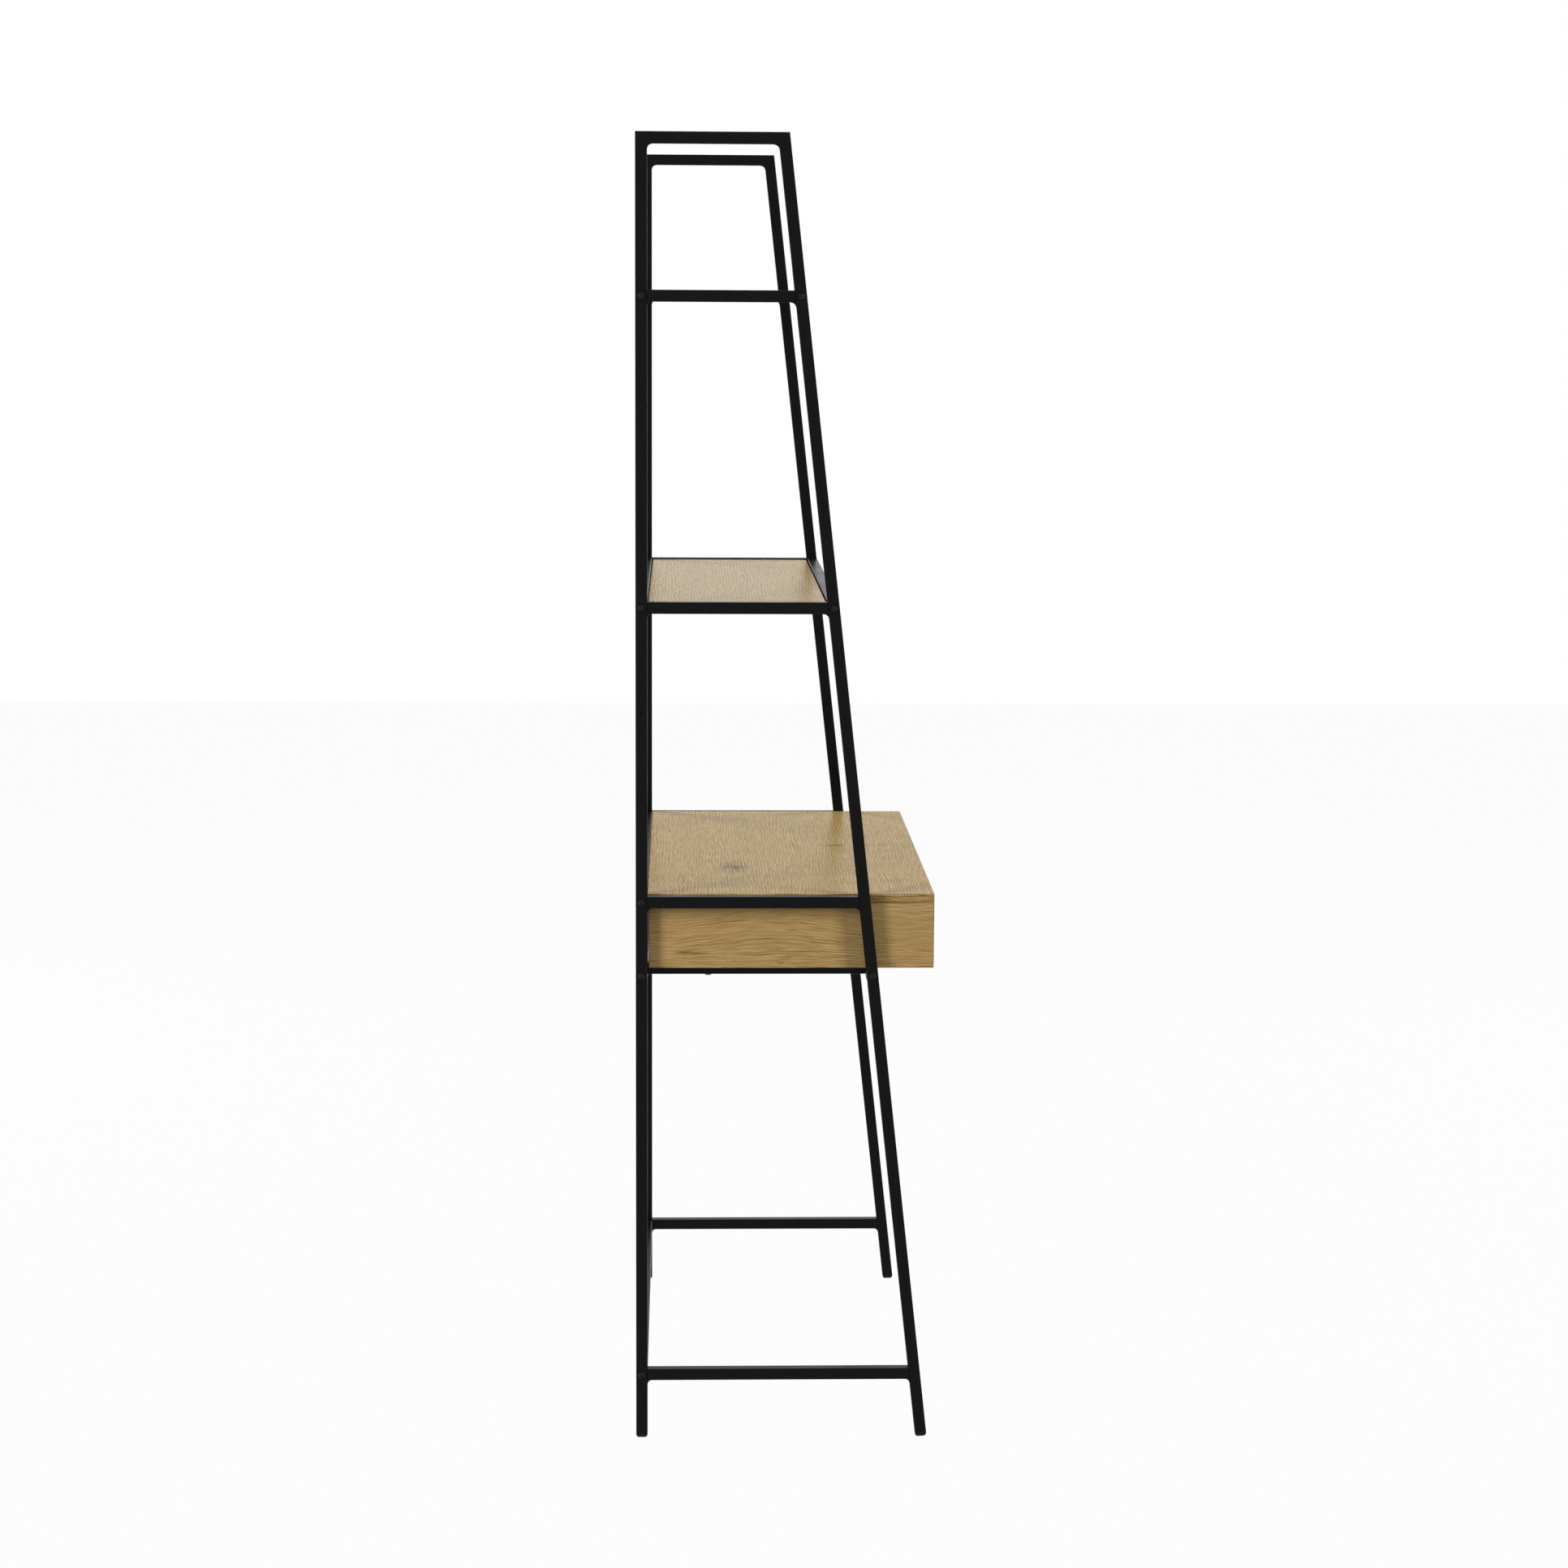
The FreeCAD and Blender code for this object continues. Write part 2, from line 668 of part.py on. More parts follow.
def cam_places():
    """Seam point, direction into the board's edge and cam axis of every cam fitting."""
    places = []
    for side in SIDES.values():
        for depth in box_joint_depths(cam_inset):
            y = at_depth(depth)
            side_x = side * (box_half_width - panel_thickness / 2.0)
            places.append((V(side_x, y, desktop_underside), V(0, 0, -1), V(-side, 0, 0)))
            mid_z = box_bottom_z + panel_thickness / 2.0
            places.append((V(side * box_inner_half, y, mid_z), V(-side, 0, 0), V(0, 0, -1)))
    return places


def cam_lock(seam, into_edge, outward):
    """Round cam lock, open to the bolt's side, with a cross slot in its face."""
    centre = seam + into_edge * cam_edge_distance
    face = centre + outward * (panel_thickness / 2.0)
    lock = rod(cam_radius, face, face - outward * cam_depth)
    hollow_end = centre + into_edge * (cam_bolt_head_length + cam_clearance)
    lock = lock.cut(rod(cam_mouth_radius, seam, hollow_end))
    across = outward.cross(into_edge)
    for direction, other in ((into_edge, across), (across, into_edge)):
        along = direction * (cam_slot_length / 2.0)
        beside = other * (cam_slot_width / 2.0)
        corners = [
            face - along - beside,
            face + along - beside,
            face + along + beside,
            face - along + beside,
        ]
        lock = lock.cut(prism(corners, outward * -cam_slot_depth))
    return lock


def cam_bolt(seam, into_edge):
    """Threaded in the face of one board, its head in the cam of the other."""
    centre = seam + into_edge * cam_edge_distance
    thread = rod(cam_bolt_thread_radius, seam - into_edge * cam_bolt_thread_length, seam)
    shank = rod(cam_bolt_shank_radius, seam, centre)
    head = rod(cam_bolt_head_radius, centre, centre + into_edge * cam_bolt_head_length)
    return thread.fuse(shank).fuse(head).removeSplitter()


def cam_cutters():
    """Bores for the cams, the shanks and the threads."""
    cutters = []
    for seam, into_edge, outward in cam_places():
        centre = seam + into_edge * cam_edge_distance
        face = centre + outward * (panel_thickness / 2.0)
        bottom = face - outward * (cam_depth + cam_clearance)
        cutters.append(rod(cam_radius + cam_clearance, face + outward, bottom))
        cutters.append(rod(cam_bolt_bore_radius, seam, centre))
        thread_end = seam - into_edge * (cam_bolt_thread_length + dowel_end_room)
        cutters.append(rod(cam_bolt_thread_radius + thread_clearance, thread_end, seam))
    return cutters


def under_screw_cutters():
    cutters = []
    for x, depth in under_screw_places():
        low = V(x, at_depth(depth), box_bottom_z - tube)
        high = V(x, at_depth(depth), box_bottom_z + under_screw_grip + dowel_end_room)
        cutters.append(rod(under_screw_radius + thread_clearance, low, high))
    return cutters


def slide_screw_axes():
    """Side, depth: one for every screw of a slide."""
    return [(side, depth) for side in SIDES.values() for depth in slide_screw_depths()]


def channel_screw_cutters():
    cutters = []
    for side, depth in slide_screw_axes():
        start = V(side * (box_inner_half - slide_thickness), at_depth(depth), slide_z)
        end_x = side * (box_inner_half + slide_screw_grip + dowel_end_room)
        end = V(end_x, at_depth(depth), slide_z)
        cutters.append(rod(slide_screw_radius + thread_clearance, start, end))
    return cutters


def drilled(shape, cutters):
    """The shape with every cutter that reaches it taken out."""
    for cutter in cutters:
        if shape.BoundBox.intersect(cutter.BoundBox):
            shape = shape.cut(cutter)
    return shape


def box_boards():
    """Desktop, sides, back and bottom of the box, with all their holes."""
    boards = {
        "desktop": board(-box_half_width, box_half_width, desktop_back_depth, desk_depth,
                         desktop_underside, desktop_top),
        "box_back": board(-box_inner_half, box_inner_half, box_back_depth, box_inner_back_depth,
                          box_floor_z, desktop_underside),
        "box_bottom": board(-box_inner_half, box_inner_half, box_back_depth, desk_depth,
                            box_bottom_z, box_floor_z),
    }
    for name, side in SIDES.items():
        boards[name + "_box_side"] = board(side * box_inner_half, side * box_half_width,
                                           box_back_depth, desk_depth,
                                           box_bottom_z, desktop_underside)
    cutters = dowel_cutters(box_dowels()) + cam_cutters() + under_screw_cutters()
    cutters += channel_screw_cutters()
    return {name: drilled(shape, cutters) for name, shape in boards.items()}


def under_desk_screws():
    length = tube + under_screw_grip
    screws = []
    for x, depth in under_screw_places():
        seat = V(x, at_depth(depth), box_bottom_z - tube)
        screws.append(screw(seat, V(0, 0, 1), under_screw_radius, length,
                            under_screw_head_radius, under_screw_head_height))
    return screws


# ---- drawer ------------------------------------------------------------------------------
def grip_cutter(front_top):
    """Round-cornered cut-out for the fingers, open at the top edge."""
    half = grip_width / 2.0
    low = front_top - grip_depth
    rear = drawer_front_back_depth - cutter_overrun
    front = drawer_front_face_depth + cutter_overrun
    cutter = block(-half, half, rear, front, low, front_top + grip_depth)
    lower_edges = [edge for edge in cutter.Edges
                   if abs(edge.CenterOfMass.z - low) < match
                   and abs(abs(edge.CenterOfMass.x) - half) < match]
    return cutter.makeFillet(grip_corner, lower_edges)


def drawer_front():
    low = box_floor_z + drawer_front_gap
    top = desktop_underside - drawer_front_gap
    half = box_inner_half - drawer_front_gap
    front = board(-half, half, drawer_front_back_depth, drawer_front_face_depth, low, top)
    front = front.cut(grip_cutter(top))
    rim = [edge for edge in front.Edges if is_grip_edge(edge, top)]
    front = front.makeFillet(grip_edge, rim)
    return drilled(front, [groove_cutter()] + dowel_cutters(drawer_dowels()))


def is_grip_edge(edge, front_top):
    """Edges of the finger cut-out that lie in the front's two faces."""
    middle = edge.CenterOfMass
    low = front_top - grip_depth - match
    inside = abs(middle.x) < grip_width / 2.0 + match and low < middle.z < front_top - board_edge
    faces = [at_depth(drawer_front_face_depth), at_depth(drawer_front_back_depth)]
    return inside and min(abs(middle.y - y) for y in faces) < match


def groove_cutter():
    """Groove for the drawer's bottom, in the front and both sides."""
    half = drawer_inner_half + groove_depth
    front = drawer_front_back_depth + groove_depth
    top = groove_z + drawer_bottom_thickness + groove_clearance
    return block(-half, half, drawer_rear_depth - cutter_overrun, front, groove_z, top)


def drawer_dowels():
    """Seams of the dowels between the drawer's front and its sides."""
    seams = []
    for side in SIDES.values():
        x = side * (drawer_half_width - drawer_panel / 2.0)
        for z in (drawer_side_z + drawer_dowel_from_bottom, drawer_side_top - drawer_dowel_from_top):
            seams.append((V(x, at_depth(drawer_front_back_depth), z), V(0, 1, 0)))
    return seams


def drawer_screw_seats():
    """Where the screws through the drawer's sides into its back start, and their side."""
    depth = drawer_rear_depth + drawer_panel / 2.0
    heights = (groove_z + drawer_screw_from_bottom, drawer_side_top - drawer_screw_from_top)
    return [(V(side * drawer_half_width, at_depth(depth), z), side)
            for side in SIDES.values() for z in heights]


def drawer_screw(seat, side, grow=0.0, room=0.0):
    """Screw along X through a drawer side; grow and room make its hole."""
    return countersunk_screw(seat, V(-side, 0, 0), drawer_screw_radius, drawer_screw_length,
                             drawer_screw_head_radius, grow, room)


def bar_screw_cutters():
    cutters = []
    for side, depth in slide_screw_axes():
        y = at_depth(depth)
        end_x = side * (drawer_half_width - slide_screw_grip - dowel_end_room)
        start = V(side * box_inner_half, y, slide_z)
        cutters.append(rod(slide_screw_radius + thread_clearance, start, V(end_x, y, slide_z)))
    return cutters


def drawer_side(side):
    shape = board(side * drawer_inner_half, side * drawer_half_width, drawer_rear_depth,
                  drawer_front_back_depth, drawer_side_z, drawer_side_top)
    cutters = [groove_cutter()] + dowel_cutters(drawer_dowels()) + bar_screw_cutters()
    cutters += [drawer_screw(seat, way, thread_clearance, dowel_end_room)
                for seat, way in drawer_screw_seats()]
    return drilled(shape, cutters)


def drawer_back():
    low = groove_z + drawer_bottom_thickness + groove_clearance
    shape = board(-drawer_inner_half, drawer_inner_half, drawer_rear_depth,
                  drawer_rear_depth + drawer_panel, low, drawer_side_top)
    cutters = [drawer_screw(seat, way, thread_clearance, dowel_end_room)
               for seat, way in drawer_screw_seats()]
    return drilled(shape, cutters)


def drawer_bottom():
    half = drawer_inner_half + groove_depth - groove_clearance
    front = drawer_front_back_depth + groove_depth - groove_clearance
    top = groove_z + drawer_bottom_thickness
    return block(-half, half, drawer_rear_depth, front, groove_z, top)


# ---- drawer slides -----------------------------------------------------------------------
def slide_section(side, points, rear, front):
    """Extrude an outline of (offset from the box side, height) points along the slide."""
    corners = [V(side * (box_inner_half - offset), at_depth(rear), slide_z + z) for offset, z in points]
    return prism(corners, V(0, rear - front, 0))


def mirrored_outline(lower_half):
    """Outline from its lower half, given as (offset, depth below the centre) points."""
    below = [(offset, -z) for offset, z in lower_half]
    return below + list(reversed(lower_half))


def slide_channel(side):
    half = slide_height / 2.0
    inner = half - slide_wall
    outline = [
        (0.0, half),
        (slide_flange, half),
        (slide_flange, inner - lip),
        (slide_flange - lip, inner - lip),
        (slide_flange - lip, inner),
        (slide_wall, inner),
    ]
    shape = slide_section(side, mirrored_outline(outline), slide_rear_depth, slide_front_depth)
    return pierced(shape, side, 0.0, slide_wall)


def slide_bar(side):
    half = bar_half_height
    outline = [
        (slide_thickness, half),
        (bar_edge + lip, half),
        (bar_edge + lip, half + lip),
        (bar_edge, half + lip),
        (bar_edge, half - bar_wall),
        (slide_thickness - slide_wall, half - bar_wall),
    ]
    shape = slide_section(side, mirrored_outline(outline), slide_rear_depth, slide_front_depth)
    return pierced(shape, side, slide_thickness - slide_wall, slide_thickness)


def pierced(shape, side, offset0, offset1):
    """Screw holes through the web between two offsets from the box side."""
    for depth in slide_screw_depths():
        start = V(side * (box_inner_half - offset0), at_depth(depth), slide_z)
        end = V(side * (box_inner_half - offset1), at_depth(depth), slide_z)
        shape = shape.cut(rod(slide_screw_radius + screw_hole_clearance, start, end))
    return shape


def slide_screw(side, depth, offset, outward):
    """Flat pan-headed screw; outward is +1 into the box side and -1 into the drawer."""
    seat = V(side * (box_inner_half - offset), at_depth(depth), slide_z)
    length = slide_wall + slide_screw_grip
    return screw(seat, V(side * outward, 0, 0), slide_screw_radius, length,
                 slide_screw_head_radius, slide_screw_head_height)


def channel_screws():
    return [slide_screw(side, depth, slide_wall, 1.0) for side, depth in slide_screw_axes()]


def bar_screws():
    offset = slide_thickness - slide_wall
    return [slide_screw(side, depth, offset, -1.0) for side, depth in slide_screw_axes()]


def ball_depths():
    """Depths of the balls of one row, spread evenly about the middle of the slide."""
    middle = (slide_rear_depth + slide_front_depth) / 2.0
    count = int((cage_length - 2.0 * cage_ball_margin) / ball_pitch) + 1
    first = middle - (count - 1) * ball_pitch / 2.0
    return [first + step * ball_pitch for step in range(count)]


def ball_centres(side):
    x = side * (box_inner_half - ball_offset)
    return [V(x, at_depth(depth), slide_z + row * ball_z) for depth in ball_depths() for row in (-1.0, 1.0)]


def ball_cage(side):
    """Folded strip with an arm over each row of balls."""
    arm_low = ball_z - cage_wall / 2.0
    arm_high = ball_z + cage_wall / 2.0
    outline = [
        (cage_web_offset, arm_high),
        (cage_edge, arm_high),
        (cage_edge, arm_low),
        (cage_web_offset + cage_web, arm_low),
    ]
    middle = (slide_rear_depth + slide_front_depth) / 2.0
    rear = middle - cage_length / 2.0
    cage = slide_section(side, mirrored_outline(outline), rear, rear + cage_length)
    reach = V(0, 0, ball_diameter)
    for centre in ball_centres(side):
        cage = cage.cut(rod(ball_diameter / 2.0 + cage_ball_clearance, centre - reach, centre + reach))
    return cage


def slide_balls():
    balls = []
    for side in SIDES.values():
        for centre in ball_centres(side):
            balls.append(Part.makeSphere(ball_diameter / 2.0, centre))
    return balls


# ---- writing the parts -------------------------------------------------------------------
def build():
    os.makedirs("parts", exist_ok=True)
    for name, side in SIDES.items():
        save(name + "_rear_leg", [rear_leg(side)])
        save(name + "_front_leg", [front_leg(side)])
        for rail_name, top in SIDE_RAIL_TOPS.items():
            rail = side_top_rail(side) if rail_name == "top_rail" else side_rail(side, top)
            save(name + "_" + rail_name, [rail])
        save(name + "_frame_welds", frame_welds(side))
        save(name + "_under_desk_rail", [under_desk_side_rail(side)])
        save(name + "_drawer_side", [drawer_side(side)])
        save(name + "_slide_channel", [slide_channel(side)])
        save(name + "_slide_bar", [slide_bar(side)])
    save("rear_feet", [rear_foot(side) for side in SIDES.values()])
    save("front_feet", [front_foot(side) for side in SIDES.values()])
    for rail_name in cross_rail_places():
        save(rail_name, [cross_rail(rail_name)])
    save("rail_inserts", rail_inserts())
    save("frame_bolts", frame_bolts())
    save("upper_shelf", [shelf_board("upper_shelf")])
    save("lower_shelf", [shelf_board("lower_shelf")])
    save("shelf_tabs", for_every_tab(shelf_tab))
    save("shelf_screws", for_every_tab(shelf_screw))
    for board_name, shape in box_boards().items():
        save(board_name, [shape])
    save("box_dowels", [dowel(seam, into) for seam, into in box_dowels()])
    save("cam_locks", [cam_lock(seam, into, outward) for seam, into, outward in cam_places()])
    save("cam_bolts", [cam_bolt(seam, into) for seam, into, outward in cam_places()])
    save("under_desk_screws", under_desk_screws())
    save("channel_screws", channel_screws())
    save("drawer_front", [drawer_front()])
    save("drawer_back", [drawer_back()])
    save("drawer_bottom", [drawer_bottom()])
    save("drawer_dowels", [dowel(seam, into) for seam, into in drawer_dowels()])
    save("drawer_screws", [drawer_screw(seat, side) for seat, side in drawer_screw_seats()])
    save("bar_screws", bar_screws())
    save("ball_cages", [ball_cage(side) for side in SIDES.values()])
    save("slide_balls", slide_balls())
    print("drawer travel", round(drawer_travel, 3), "slide length", round(slide_length, 3))


build()
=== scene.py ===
import math

import bmesh
import bpy
from mathutils import Matrix, Vector


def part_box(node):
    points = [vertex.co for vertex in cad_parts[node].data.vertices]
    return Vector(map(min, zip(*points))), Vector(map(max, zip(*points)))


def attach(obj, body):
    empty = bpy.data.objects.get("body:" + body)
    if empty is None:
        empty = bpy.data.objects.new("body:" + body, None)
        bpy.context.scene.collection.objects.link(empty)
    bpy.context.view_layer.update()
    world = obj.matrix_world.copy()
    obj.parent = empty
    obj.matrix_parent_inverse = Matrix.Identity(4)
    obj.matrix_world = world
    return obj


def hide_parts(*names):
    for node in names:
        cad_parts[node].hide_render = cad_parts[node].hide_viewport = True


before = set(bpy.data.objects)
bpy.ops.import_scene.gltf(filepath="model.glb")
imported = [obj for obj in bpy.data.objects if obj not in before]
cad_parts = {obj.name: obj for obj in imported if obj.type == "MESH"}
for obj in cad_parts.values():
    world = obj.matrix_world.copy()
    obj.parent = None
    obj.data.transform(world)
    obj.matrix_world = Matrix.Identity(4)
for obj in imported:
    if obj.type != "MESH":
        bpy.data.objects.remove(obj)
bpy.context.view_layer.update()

mm = 0.001
X, Y, Z = (1, 0, 0), (0, 1, 0), (0, 0, 1)
SIDES = {"left": -1.0, "right": 1.0}

# ---- what counts as the same -----------------------------------------------------------
hair = 0.001 * mm                    # how near a cut takes a vertex for its own
near = 0.01 * mm                     # how near two heights count as one
aligned = 0.9                        # least cosine to an axis of what runs along it
square_on = 0.99                     # the same for a flat face beside a rounded edge
mostly = 0.7                         # the same for a face that leans by up to 45 degrees

# ---- steel frame -----------------------------------------------------------------------
tube = 16 * mm
tube_wall = 1.2 * mm
tube_corner = 1.5 * mm
corner_steps = 4                     # facets round a tube's corner
foot_reach = 202.5 * mm              # front leg's foot in front of its top
frame_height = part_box("left_rear_leg")[1].z
lean = math.atan(foot_reach / frame_height)
leg_stock = 1.1                      # front leg's length before its mitre, in frame heights
hanging_hole_height = 1023 * mm
hanging_hole_radius = 1.25 * mm
hanging_hole_sides = 24
hole_cutter_start = 1.01             # outer end of the hole's cutter, in the outer face's X
hole_cutter_depth = 3 * tube_wall
weld_leg = 6 * mm
weld_width = 12 * mm
weld_hollow = 0.985                  # radius of a weld's hollow face, in weld legs
weld_hollow_sides = 64
weld_ripples = 9
weld_ripple_swell = 0.05             # how much wider each ripple's crest is
SIDE_RAILS = ("upper_shelf_rail", "lower_shelf_rail", "desk_rail", "foot_rail")
CROSS_RAILS = ("upper_shelf_rear_rail", "upper_shelf_front_rail", "lower_shelf_rear_rail",
               "lower_shelf_front_rail", "desk_rear_rail", "under_desk_rear_rail",
               "under_desk_front_rail", "foot_rear_rail")

# ---- bolts and screws ------------------------------------------------------------------
bolt_head_radius = 5.25 * mm
bolt_head_height = 3.3 * mm
bolt_crown_radius = 3.05 * mm
bolt_shank_radius = 3 * mm
bolt_length = 30 * mm
socket_flats = 4 * mm
socket_radius = socket_flats / math.sqrt(3)    # to the hexagon's corners
socket_depth = 2.1 * mm
socket_rounding = 0.18 * mm
socket_room = 0.1 * mm               # how far outside its corners the socket's rim may lie
dome_steps = 8                       # rings up a screw head's dome
truss_head_radius = 6.5 * mm
truss_head_height = 2.8 * mm
truss_crown_radius = 1.2 * mm
truss_shank_radius = 2.5 * mm
truss_length = 25 * mm
recess_width = 1.2 * mm              # arm of the cross recess
recess_length = 5.6 * mm
recess_depth = 1.6 * mm
under_screw_from_rear = 100 * mm     # side rails' screws, from the frame's rear face
under_screw_from_middle = 180 * mm   # front rail's screws, from the desk's middle

# ---- feet ------------------------------------------------------------------------------
foot_height = 6.5 * mm
foot_collar = 2.2 * mm               # straight part below the tube's end
foot_base = 10.5 * mm
foot_plug = 13.4 * mm
foot_plug_length = 18 * mm
foot_crown = 1.6                     # 1 would taper in a straight line, more bulges
foot_rim = 0.7 * mm                  # rounding round the base, half that under the tube's end
foot_steps = 6                       # rings down the taper

# ---- boards ----------------------------------------------------------------------------
board_edge = 0.5 * mm
band = 1.0 * mm                      # thickness of the edge band
seam_half_width = 0.12 * mm
seam_depth = 0.10 * mm
grip_width = 110 * mm
grip_depth = 22 * mm
grip_corner = 14 * mm
grip_edge = 1.5 * mm
grip_match = 0.05 * mm               # how near the cut-out's outline its rim lies
grip_top = 0.6 * mm                  # stretch below the front's upper edge that isn't rounded
groove_depth = 5 * mm
groove_room = 0.2 * mm               # over the drawer's bottom

# ---- camera and light ------------------------------------------------------------------
camera_place = Vector((-4.84496, 0.14474, 1.59006))
camera_turn = 0.0317                 # radians away from +X, towards the front of the desk
camera_tip = 0.1475                  # radians below the horizon
camera_roll = 0.0056
camera_lens = 75.996
white = 1.0                          # strength at which a background is plain white
white_light = (1, 1, 1, 1)
studio_level = 0.10                  # strength of the surroundings' light on the desk
floor_size = 16
floor_grey = (0.38, 0.38, 0.38, 1)
floor_glow = 0.965                   # share of plain white in the floor, the rest takes shadow
rear_lamp = (2.45, 2.80)             # X and Y of the right-hand one, which the left mirrors
front_lamp = (2.10, -3.20)
lamp_height = 2.15
lamp_width = 1.0
lamp_tall = 2.6
lamp_power = 102.0
lamp_aim_x = 0.3
lamp_aim_height = 0.9


# ==== modelling helpers =================================================================
def deselect():
    bpy.ops.object.select_all(action="DESELECT")


def activate(piece):
    """Only this piece is selected, and it is the one that operators work on."""
    deselect()
    piece.select_set(True)
    bpy.context.view_layer.objects.active = piece


def settle(piece):
    """The piece's place, turn and size go into its mesh."""
    activate(piece)
    bpy.ops.object.transform_apply(location=True, rotation=True, scale=True)


def named(name):
    """The primitive that was just added, under its name."""
    piece = bpy.context.object
    piece.name = name
    piece.data.name = name
    return piece


def add_block(name, low, high):
    """A cube primitive at its size and place."""
    deselect()
    low, high = Vector(low), Vector(high)
    bpy.ops.mesh.primitive_cube_add(size=1, location=(low + high) / 2)
    piece = named(name)
    piece.scale = high - low
    settle(piece)
    return piece


def add_rod(name, start, end, radius, sides=48):
    """A cylinder primitive from one point to another."""
    deselect()
    start, end = Vector(start), Vector(end)
    turn = Vector(Z).rotation_difference(end - start).to_euler()
    bpy.ops.mesh.primitive_cylinder_add(
        vertices=sides, radius=radius, depth=(end - start).length,
        location=(start + end) / 2, rotation=turn)
    piece = named(name)
    settle(piece)
    return piece


def edit(piece):
    activate(piece)
    bpy.ops.object.mode_set(mode="EDIT")


def leave():
    bpy.ops.object.mode_set(mode="OBJECT")


def pick(piece, kind, test):
    """In edit mode, selects the vertices, edges or faces that pass the test."""
    bpy.ops.mesh.select_mode(type=kind)
    bpy.ops.mesh.select_all(action="DESELECT")
    shape = bmesh.from_edit_mesh(piece.data)
    shape.normal_update()
    parts = {"VERT": shape.verts, "EDGE": shape.edges, "FACE": shape.faces}[kind]
    for part in parts:
        if test(part):
            part.select_set(True)
    shape.select_flush_mode()
    bmesh.update_edit_mesh(piece.data)


def middle(edge):
    return (edge.verts[0].co + edge.verts[1].co) / 2


def run_of(edge):
    """Unit vector along an edge."""
    return (edge.verts[1].co - edge.verts[0].co).normalized()


def lies_at(edge, height):
    """Whether both ends of an edge are at this height."""
    return all(abs(vert.co.z - height) < near for vert in edge.verts)


def extrude(move, share, centre):
    """In edit mode, extrudes what is selected and scales its new end about a point."""
    bpy.ops.mesh.extrude_region_move(TRANSFORM_OT_translate={"value": move})
    bpy.ops.transform.resize(value=share, center_override=centre)


def round_as_tube(piece):
    """In edit mode, rounds the edges along Z by the corner of the square tube."""
    pick(piece, "EDGE", lambda edge: abs(run_of(edge).z) > aligned)
    bpy.ops.mesh.bevel(offset=tube_corner, segments=corner_steps, profile=0.5)


def saw(piece, point, normal, close=False):
    """Cuts away what lies past a plane, and may close the cut with a face."""
    edit(piece)
    bpy.ops.mesh.select_all(action="SELECT")
    bpy.ops.mesh.bisect(plane_co=point, plane_no=normal, clear_outer=True,
                        use_fill=close, threshold=hair)
    leave()


def apply_modifier(piece, kind, **settings):
    activate(piece)
    modifier = piece.modifiers.new(kind.title(), kind)
    for key, value in settings.items():
        setattr(modifier, key, value)
    bpy.ops.object.modifier_apply(modifier=modifier.name)


def discard(piece):
    bpy.data.objects.remove(piece)


def carve(piece, cutter):
    """Cuts one piece with another, which is then thrown away."""
    apply_modifier(piece, "BOOLEAN", object=cutter, operation="DIFFERENCE", solver="EXACT")
    discard(cutter)


def smooth(piece, degrees=35):
    """Round stretches are shaded smooth and flat faces stay flat."""
    activate(piece)
    bpy.ops.object.shade_smooth_by_angle(angle=math.radians(degrees))
    apply_modifier(piece, "WEIGHTED_NORMAL", keep_sharp=True, weight=100)


def copy_of(piece, name, matrix):
    """Another piece of the same shape, moved by a matrix, with its own mesh."""
    twin = piece.copy()
    twin.data = piece.data.copy()
    twin.name = name
    twin.data.name = name
    bpy.context.scene.collection.objects.link(twin)
    twin.data.transform(matrix)
    if matrix.determinant() < 0:
        twin.data.flip_normals()
    return twin


def give(piece, *materials):
    """Gives the piece its materials in place of those that it has."""
    piece.data.materials.clear()
    for material in materials:
        piece.data.materials.append(material)


def belongs(piece, body, slot, *node_names):
    """The piece moves with a body and stands for the CAD nodes it names, which are hidden. The
    slot is not used.

    Of several pieces that stand for one node together, only the first one names it."""
    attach(piece, body)
    if node_names:
        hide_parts(*node_names)


def centre_of(node):
    low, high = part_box(node)
    return (low + high) / 2


def axis_of(node, choose):
    """Axis along which the node is thinnest or longest, as min or max chooses."""
    low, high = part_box(node)
    size = high - low
    return choose(range(3), key=lambda index: size[index])


